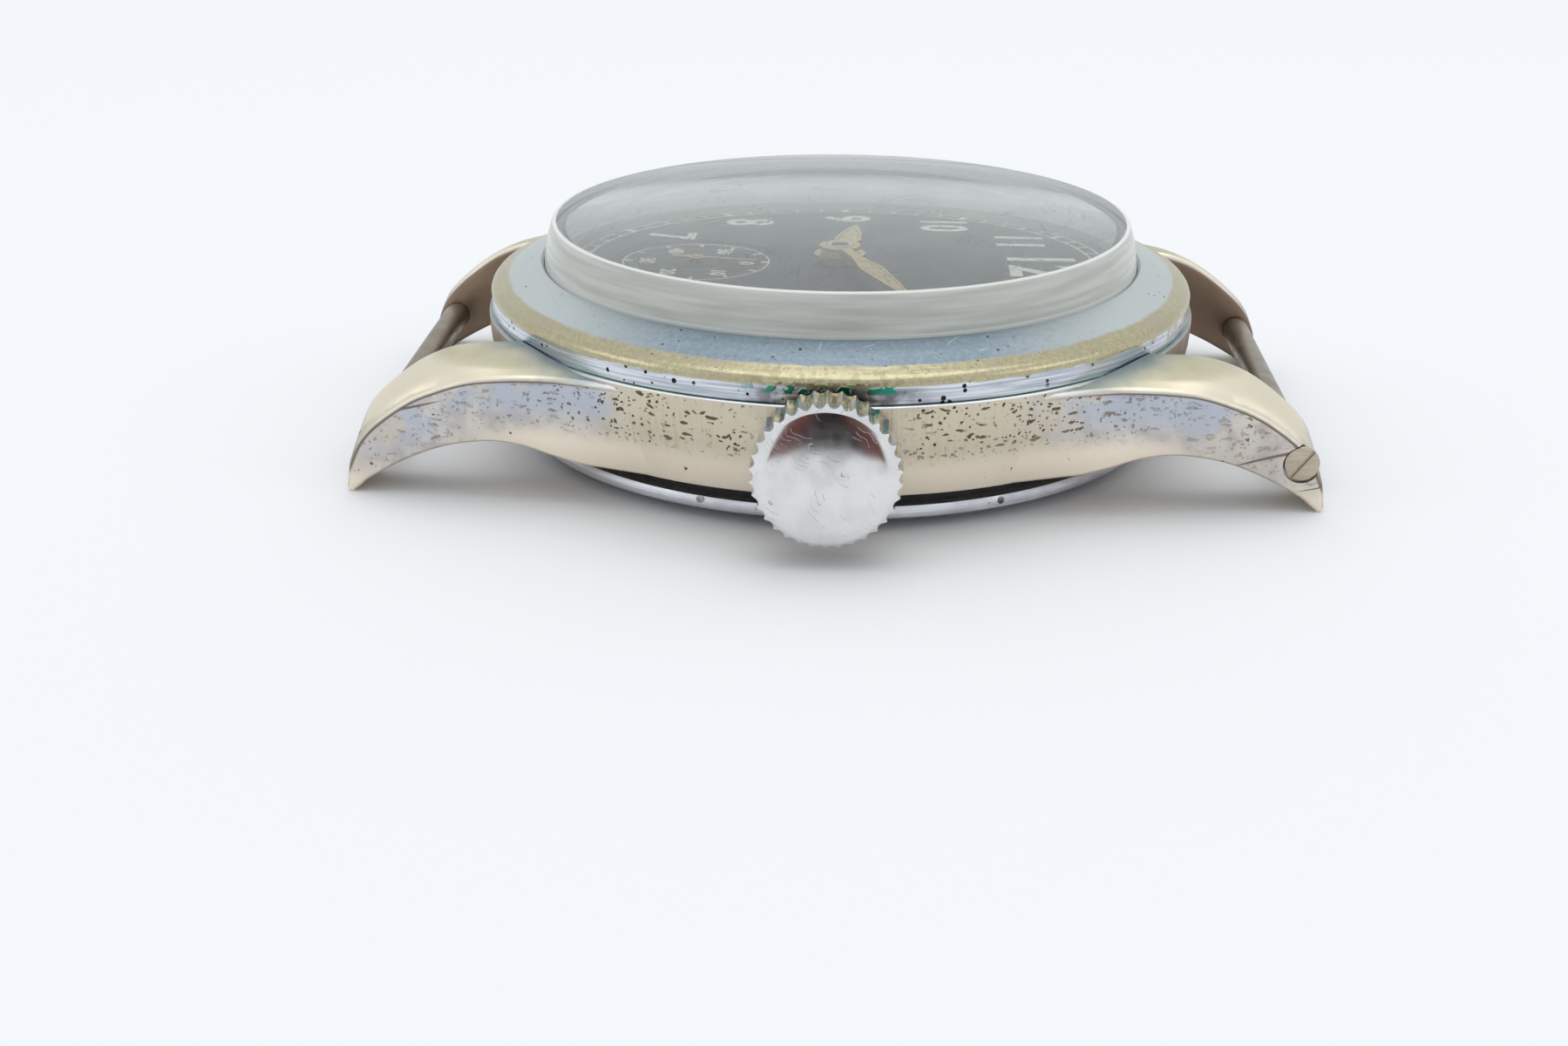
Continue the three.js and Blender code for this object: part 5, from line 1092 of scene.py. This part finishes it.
gouges = overlap(tree, pits(tree, gouge_place, 1.0, 0.38, 0.3), on_side, on_lug)
edge_line = overlap(tree, ramp(tree, facing_up, 0.06, 0.2), ramp(tree, facing_up, 0.42, 0.26),
                    ramp(tree, side, 8.0, 13.0))
top_gold = cloud(tree, read["place"], 1.8, 0.3, 0.75)
# A painted highlight: the band where a top rounds over into a side.
painted_highlight_band = overlap(tree, ramp(tree, facing_up, 0.4, 0.6), ramp(tree, facing_up, 0.95, 0.88))
uneven = add_node(tree, "ShaderNodeTexNoise", {"Vector": read["place"], "Scale": 0.5,
                                               "Detail": 3.0}).outputs[0]
sheltered = ramp(tree, add_share(tree, read["away"], uneven, 2.4), 20.0, 17.9)

print("wear masks:", len(tree.nodes), "nodes")

# %% [markdown]
# The coats go on in the order of their age: brass, plate, pits and strokes, then the brown of
# the lugs' inner faces. The painted reflection low on the sides and the painted highlights on
# the rounded top edges are laid in among them.
# Steep faces and level faces have coats of their own, and the normal's height parts them.

# %% Lay the case's coats
# The flank's foot is painted paler and pinker: a real pinkish tone, lightened as a painted
# reflection of the table.
flank_brass = coats(tree, colour("#C9BEA5"), (tone, "#D8CEB8"), (brush_lines, "#D3CAB7"),
                    (rosy_foot_and_painted_reflection, "#E9DACA"))
lug_brass = coats(tree, colour("#CBC3B9"), (tone, "#D6D0C9"),
                  (cloud(tree, read["place"], 0.9, 0.4, 0.7), "#BBB4B0"))
# The lugs' inner faces, towards the strap, are painted brown.
strap_side = overlap(tree, ramp(tree, width_way, 9.5, 9.2), ramp(tree, side, 11.0, 13.0),
                     on_side)
side_colour = coats(tree, flank_brass, (on_lug, lug_brass), (plate_mask, "#BBC0CA"),
                    (pink_low_band_and_painted_reflection, "#EDE1CF"), (coarse_pits, "#7D6D60"), (strokes, "#6E5F4C"),
                    (fine_pits, "#685B48"), (gouges, "#86766A"), (edge_line, "#7D7166"),
                    (strap_side, coats(tree, colour("#7F6C5C"), (tone, "#95816E"))))
# The rounded band is painted pale cream on the lug tops and near white along the band's top edge:
# painted highlights.
gold_top = coats(tree, colour("#C3BCA0"), (top_gold, "#D3CBB0"), (painted_highlight_band, "#E6DCC6"))
top_colour = coats(tree, gold_top, (sheltered, "#8F9C9E"),
                   (overlap(tree, painted_highlight_band, ramp(tree, side, 12.0, 9.0)), "#F0F2F5"))
dull = add_share(tree, 0.36, cloud(tree, read["place"], 1.2, 0.3, 0.7), 0.1)
dress(tree, shader, coats(tree, side_colour, (on_top, top_colour)),
      add_share(tree, dull, fine_pits, 0.3), metallic=1.0)
relief(tree, shader, (fine_pits, -0.03), (coarse_pits, -0.03), (strokes, -0.025),
       (gouges, -0.02), (overlap(tree, brush_lines, on_side), 0.003),
       (cloud(tree, read["place"], 0.5, 0.2, 0.8), 0.003))
coat_piece(mid_case_shell, plated)
print("plated case:", len(tree.nodes), "nodes")

# %% [markdown]
# ## The bezel's three faces
# The bezel is turned brass that was plated too. Its wall keeps lilac plate with the lathe's
# level lines, flecked with black and stained green by old sweat above the crown. Its rounded
# edge is worn to satin brass. Its top has gone a matt blue-grey, paler towards the lugs. One
# material holds all three, parted by height and by distance from the centre, with a little
# noise so that no border is drawn with a compass. The lathe's lines are 0.05 mm apart in life
# and are drawn at 0.12 mm, so that they show.

# %% Turned and worn bezel plating
bezel_finish, tree, shader = new_material("worn_plate_on_turned_brass")
read = read_place(tree)
waver = add_node(tree, "ShaderNodeTexNoise", {"Vector": read["place"], "Scale": 1.3,
                                              "Detail": 5.0}).outputs[0]
is_edge = ramp(tree, add_share(tree, read["z"], waver, 0.22), WALL_TOP + 0.1, WALL_TOP + 0.15)
slow_waver = add_node(tree, "ShaderNodeTexNoise", {"Vector": read["place"], "Scale": 0.7,
                                                   "Detail": 2.0}).outputs[0]
inset = add_share(tree, read["away"], slow_waver, 0.25)
is_top = ramp(tree, inset, BEZEL_RADIUS - 0.64, BEZEL_RADIUS - 0.82)
lathe_lines = cloud(tree, stretched(tree, read, 0.03, 1.0), 0.12, 0.4, 0.62, detail=3.0)
edge_grain = cloud(tree, stretched(tree, read, 1.0, 0.7, 0.7), 0.16, 0.3, 0.7)
top_grain = cloud(tree, read["place"], 0.22, 0.4, 0.7)
front = ramp(tree, read["x"], 2.0, 9.0)
by_crown = overlap(tree, ramp(tree, read["y"], -4.4, -2.2), ramp(tree, read["y"], 5.0, 2.6), front)
green_mask = overlap(tree, cloud(tree, read["place"], 0.6, 0.5, 0.56, detail=5.0), by_crown,
                     ramp(tree, read["z"], 6.68, 6.85), ramp(tree, read["z"], 7.3, 7.12))
# Darker grey low on the wall, just behind the crown.
grey_patch_by_crown = overlap(tree, cloud(tree, read["place"], 1.1, 0.35, 0.6), by_crown,
                     ramp(tree, read["z"], 7.1, 6.8))
off_middle = add_node(tree, "ShaderNodeMath", {0: read["y"]}, operation="ABSOLUTE").outputs[0]
mint_mask = overlap(tree, ramp(tree, read["z"], 6.42, 6.34), front,
                    ramp(tree, off_middle, 4.0, 8.0))
brown_mask = overlap(tree, cloud(tree, read["place"], 1.8, 0.4, 0.6),
                     ramp(tree, read["y"], 13.6, 14.8), ramp(tree, read["z"], 6.4, 6.7))
black_flecks = overlap(tree, pits(tree, read["place"], 0.3, 0.42, 0.4),
                       cloud(tree, read["place"], 1.8, 0.36, 0.5))
top_flecks = overlap(tree, pits(tree, read["place"], 0.4, 0.26, 0.35),
                     cloud(tree, read["place"], 2.6, 0.42, 0.58))
scratch_waves = add_node(tree, "ShaderNodeTexWave", {"Vector": read["place"], "Scale": 0.5,
                                                     "Distortion": 14.0, "Detail": 2.0,
                                                     "Detail Scale": 0.4},
                         bands_direction="DIAGONAL").outputs["Fac"]
pale_rubs = overlap(tree, ramp(tree, scratch_waves, 0.992, 0.999),
                    cloud(tree, read["place"], 1.6, 0.56, 0.66))
yellowed = overlap(tree, cloud(tree, read["place"], 0.5, 0.5, 0.6), by_crown)
wall_colour = coats(tree, colour("#B4BAC4"), (lathe_lines, "#DFE3EA"), (grey_patch_by_crown, "#77787A"),
                    (brown_mask, "#94806A"), (mint_mask, "#DDE9E6"), (black_flecks, "#2C2823"),
                    (green_mask, "#2E8B74"))
edge_colour = coats(tree, colour("#AEA587"), (edge_grain, "#C0B796"),
                    (cloud(tree, read["place"], 2.4, 0.45, 0.7), "#B3AA8F"),
                    (yellowed, "#A39D7A"), (overlap(tree, green_mask, top_grain), "#8DAF7E"),
                    (overlap(tree, top_flecks, ramp(tree, inset, 16.5, 16.3)), "#5B5136"))
top_face = coats(tree, colour("#87959F"), (top_grain, "#929FA8"),
                 (ramp(tree, off_middle, 5.0, 14.0, 0.0, 0.8), "#D2D6D2"), (pale_rubs, "#B4C0C5"),
                 (top_flecks, "#4B4F50"))
bezel_colour = coats(tree, wall_colour, (is_edge, edge_colour), (is_top, top_face))
dress(tree, shader, bezel_colour, ramp(tree, is_top, 0.0, 1.0, 0.28, 0.48), metallic=1.0)
relief(tree, shader, (black_flecks, -0.03), (lathe_lines, 0.003), (green_mask, 0.02),
       (top_flecks, -0.015), (overlap(tree, edge_grain, is_edge), 0.002), (top_grain, 0.002))
coat_piece(bezel_ring, bezel_finish)
print("bezel:", len(tree.nodes), "nodes")

# %% [markdown]
# ## Acrylic, steel and rubber
# The crystal is moulded acrylic: clear, slightly green, with an index of 1.49 and a skin of
# hair scratches; years of fine cuts have turned its wall milky. So one mask, by the distance
# from the centre, takes the wall from clear to milky.

# %% Cast acrylic
acrylic, tree, shader = new_material("moulded_acrylic")
read = read_place(tree)
shader.inputs["IOR"].default_value = 1.49
wall_zone = ramp(tree, read["away"], RIM - 0.2, RIM - AIR)
wall_streaks = cloud(tree, stretched(tree, read, 0.05, 1.0), 0.35, 0.3, 0.7)
# Painted highlights: thin bands at the wall's top and bottom edge are painted near white.
painted_highlight_edges = add_node(tree, "ShaderNodeMath", {
    0: ramp(tree, read["z"], SHOULDER - 0.07, SHOULDER - 0.03),
    1: ramp(tree, read["z"], BEZEL_TOP + 0.16, BEZEL_TOP + 0.1)}).outputs[0]
milky = coats(tree, colour("#C3C7C0"), (wall_streaks, "#DDE0DA"), (painted_highlight_edges, "#ECEEEA"))
tree.links.new(ramp(tree, wall_zone, 0.0, 1.0, 1.0, 0.12), shader.inputs["Transmission Weight"])
hair = add_node(tree, "ShaderNodeTexWave", {"Vector": read["place"], "Scale": 0.7,
                                            "Distortion": 30.0, "Detail": 3.0,
                                            "Detail Scale": 0.4}, bands_direction="DIAGONAL")
hairlines = overlap(tree, ramp(tree, hair.outputs["Fac"], 0.985, 0.998),
                    cloud(tree, read["place"], 2.4, 0.5, 0.62))
skin = ramp(tree, cloud(tree, read["place"], 4.0, 0.2, 0.8), 0.0, 1.0, 0.0, 0.02)
dress(tree, shader, coats(tree, colour("#F4F7F3"), (wall_zone, milky)),
      add_share(tree, skin, wall_zone, 0.22))
relief(tree, shader, (hairlines, -0.003))
coat_piece(crystal_dome, acrylic)
print("acrylic:", len(tree.nodes), "nodes")

# %% [markdown]
# The back is stamped steel: hard and bright, with faint rings from the press and deep pits where
# sweat has sat at its rim. A mid roughness keeps its glints broad.

# %% Stamped stainless back
back_steel, tree, shader = new_material("stamped_stainless_steel")
read = read_place(tree)
lathe_lines = cloud(tree, stretched(tree, read, 0.03, 1.0, 1.0), 0.1, 0.4, 0.62)
rim_pits = overlap(tree, pits(tree, read["place"], 0.7, 0.36, 0.5),
                   cloud(tree, read["place"], 2.8, 0.44, 0.6))
smear = cloud(tree, stretched(tree, read, 0.4, 1.0, 1.0), 0.8, 0.4, 0.7)
steel_colour = coats(tree, colour("#D2D2D8"), (lathe_lines, "#E2E2E8"), (smear, "#C2C2CA"),
                     (rim_pits, "#4A4846"))
dress(tree, shader, steel_colour, ramp(tree, smear, 0.0, 1.0, 0.34, 0.44), metallic=1.0)
relief(tree, shader, (lathe_lines, 0.003), (rim_pits, -0.05))
coat_piece(back_cover, back_steel)
print("back:", len(tree.nodes), "nodes")

# %% [markdown]
# The crown is polished, so its roughness is low and only its scuffs tell where the face is. The
# dirt's mask is the part of the surface that lies below the ridges, behind the face.

# %% Polished crown
crown_steel, tree, shader = new_material("polished_steel_with_dirty_flutes")
read = read_place(tree)
off_axis = add_node(tree, "ShaderNodeVectorMath", {0: read["place"],
                                                   1: (0.0, 0.0, STEM_HEIGHT)},
                    operation="SUBTRACT").outputs[0]
across = add_node(tree, "ShaderNodeVectorMath", {0: off_axis, 1: (0.0, 1.0, 1.0)},
                  operation="MULTIPLY").outputs[0]
from_axis = add_node(tree, "ShaderNodeVectorMath", {0: across},
                     operation="LENGTH").outputs["Value"]
behind_face = ramp(tree, read["x"], CROWN_FACE - 0.3, CROWN_FACE - 0.5)
in_flute = overlap(tree, ramp(tree, from_axis, CROWN_RADIUS - 0.1, CROWN_RADIUS - 0.22),
                   behind_face)
dirt = overlap(tree, in_flute, cloud(tree, read["place"], 0.45, 0.42, 0.6))
smudge = cloud(tree, read["place"], 1.2, 0.35, 0.75)
scuff = add_node(tree, "ShaderNodeTexWave", {"Vector": read["place"], "Scale": 1.1,
                                             "Distortion": 26.0, "Detail": 2.0,
                                             "Detail Scale": 0.5}, bands_direction="DIAGONAL")
scuffs = overlap(tree, ramp(tree, scuff.outputs["Fac"], 0.98, 0.998),
                 cloud(tree, read["place"], 0.9, 0.54, 0.62))
nicks = pits(tree, read["place"], 0.9, 0.14, 0.16)
crown_colour = coats(tree, colour("#E4E4E4"), (smudge, "#DAD9D9"), (scuffs, "#B2B2B4"),
                     (nicks, "#7E7E80"), (in_flute, "#C2C0B4"), (dirt, "#A07E44"))
dress(tree, shader, crown_colour, ramp(tree, smudge, 0.0, 1.0, 0.12, 0.2), metallic=1.0)
relief(tree, shader, (scuffs, -0.003), (nicks, -0.012), (dirt, 0.01))
coat_piece(crown_knob, crown_steel)
print("crown:", len(tree.nodes), "nodes")

# %% [markdown]
# ## Dial, printing and hands
# The dial is sprayed matt black, so it has a fine orange-peel grain and next to no gloss. The
# figures and the tracks are thick off-white paint, and the hands' filling is an older,
# yellower luminous paint with a chalky, cracked surface. The frames are thin gilt brass.

# %% Dial paint, luminous paint and gilt
dial_paint, tree, shader = new_material("matt_black_dial_paint")
read = read_place(tree)
peel = cloud(tree, read["place"], 0.12, 0.3, 0.7)
fade = cloud(tree, read["place"], 3.5, 0.35, 0.7)
dress(tree, shader, coats(tree, colour("#17191B"), (fade, "#222426"), (peel, "#1D1F21")),
      ramp(tree, fade, 0.0, 1.0, 0.5, 0.62))
relief(tree, shader, (peel, 0.0015))
coat_piece(dial_plate, dial_paint)


def chalky_paint(name, pale, dark, crack):
    """Thick old paint: chalk grain, faint cracks and a yellowed tone in patches."""
    material, tree, shader = new_material(name)
    read = read_place(tree)
    age = cloud(tree, read["place"], 0.9, 0.35, 0.7)
    chalk = cloud(tree, read["place"], 0.1, 0.3, 0.7)
    cells = add_node(tree, "ShaderNodeTexVoronoi", {"Vector": read["place"], "Scale": 2.2},
                     feature="DISTANCE_TO_EDGE").outputs["Distance"]
    cracks = ramp(tree, cells, 0.05, 0.02)
    dress(tree, shader, coats(tree, colour(pale), (age, dark), (cracks, crack)),
          ramp(tree, chalk, 0.0, 1.0, 0.6, 0.85))
    relief(tree, shader, (chalk, 0.005), (cracks, -0.01))
    return material


coat_piece(dial_printing, chalky_paint("off_white_dial_printing", "#F4F3EC", "#E9E6DA", "#CFCBBC"))
lume = chalky_paint("aged_luminous_paint", "#D9C793", "#C8B27C", "#9C8656")


GROUND_LINES = 0.09


def ground_metal(name, main, light, stain, roughness, stripe=0.0):
    """Machined metal: fine level lines, a little tone, a few stains, and stripes if asked."""
    material, tree, shader = new_material(name)
    read = read_place(tree)
    lines = cloud(tree, add_node(tree, "ShaderNodeVectorMath",
                                 {0: read["place"], 1: (1.0, 0.06, 0.6)},
                                 operation="MULTIPLY").outputs[0], GROUND_LINES, 0.35, 0.65)
    tone = cloud(tree, read["place"], 1.4, 0.35, 0.7)
    spots = pits(tree, read["place"], 0.7, 0.2, 0.15)
    layers = [(lines, light), (overlap(tree, tone, lines), main), (spots, stain)]
    if stripe:
        bands = add_node(tree, "ShaderNodeTexWave", {"Vector": read["place"], "Scale": stripe},
                         bands_direction="X").outputs["Fac"]
        layers.insert(1, (ramp(tree, bands, 0.2, 0.9), light))
    dress(tree, shader, coats(tree, colour(main), *layers),
          ramp(tree, tone, 0.0, 1.0, roughness, roughness + 0.1), metallic=1.0)
    relief(tree, shader, (lines, 0.002), (spots, -0.01))
    return material


gilt = ground_metal("gilt_brass", "#C9A662", "#DDBD7C", "#8A6B38", 0.28)
for piece in hand_pieces:
    coat_piece(piece, lume if "lume" in piece.name else gilt)
print("hands and dial are painted")

# %% [markdown]
# ## Inside the case
# The movement is out of sight, but it is a real one, and it shows when the back or the dial is
# taken away. Plates and bridges are nickel plated and striped, wheels are gilt brass, arbors and
# levers are ground steel, and the screws are blued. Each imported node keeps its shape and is
# given its metal by the kind of part that it is. Grinding lines are far too fine to show, so
# they are drawn 0.09 mm apart. The strap bars' heads wear with the lugs and share their tone.

# %% Metals for the movement
nickel = ground_metal("striped_nickel_plate", "#BDB9AE", "#CFCBC0", "#8E8778", 0.26, stripe=0.8)
ground_steel = ground_metal("ground_steel", "#B9BABF", "#D0D1D5", "#6D6C6B", 0.24)
bar_steel = ground_metal("worn_screw_steel", "#8F8578", "#A39888", "#5B4F45", 0.38)
head_steel = ground_metal("lug_coloured_screw_head", "#B5A997", "#C6BBAA", "#85776A", 0.4)
blued = ground_metal("blued_steel", "#25365E", "#34497A", "#1A2238", 0.2)
rubber, tree, shader = new_material("moulded_black_rubber")
read = read_place(tree)
bloom = cloud(tree, read["place"], 0.7, 0.4, 0.7)
dress(tree, shader, coats(tree, colour("#141414"), (bloom, "#232322")),
      ramp(tree, bloom, 0.0, 1.0, 0.55, 0.75))
relief(tree, shader, (bloom, 0.005))

KINDS = [
    ("screw", blued), ("gasket", rubber), ("plate", nickel), ("bridge", nickel),
    ("balance_cock", nickel), ("pallet_cock", nickel), ("movement_ring", nickel),
    ("wheel", gilt), ("barrel_drum", gilt), ("barrel_lid", gilt)]
STEEL_WHEELS = ("ratchet_wheel", "crown_wheel", "setting_wheel")
for name, node in frame["nodes"].items():
    metal = next((finish for word, finish in KINDS if word in name), ground_steel)
    if name in STEEL_WHEELS:
        metal = ground_steel
    coat_piece(node, metal)
for piece in bpy.data.objects:
    if piece.name.startswith("strap_bar") and piece.name.endswith("_rod"):
        coat_piece(piece, bar_steel)
        piece.data.materials.append(head_steel)
        for face in piece.data.polygons:
            face.material_index = int(abs(face.center.x) > 11.62 * MM)
print("materials:", len(bpy.data.materials))
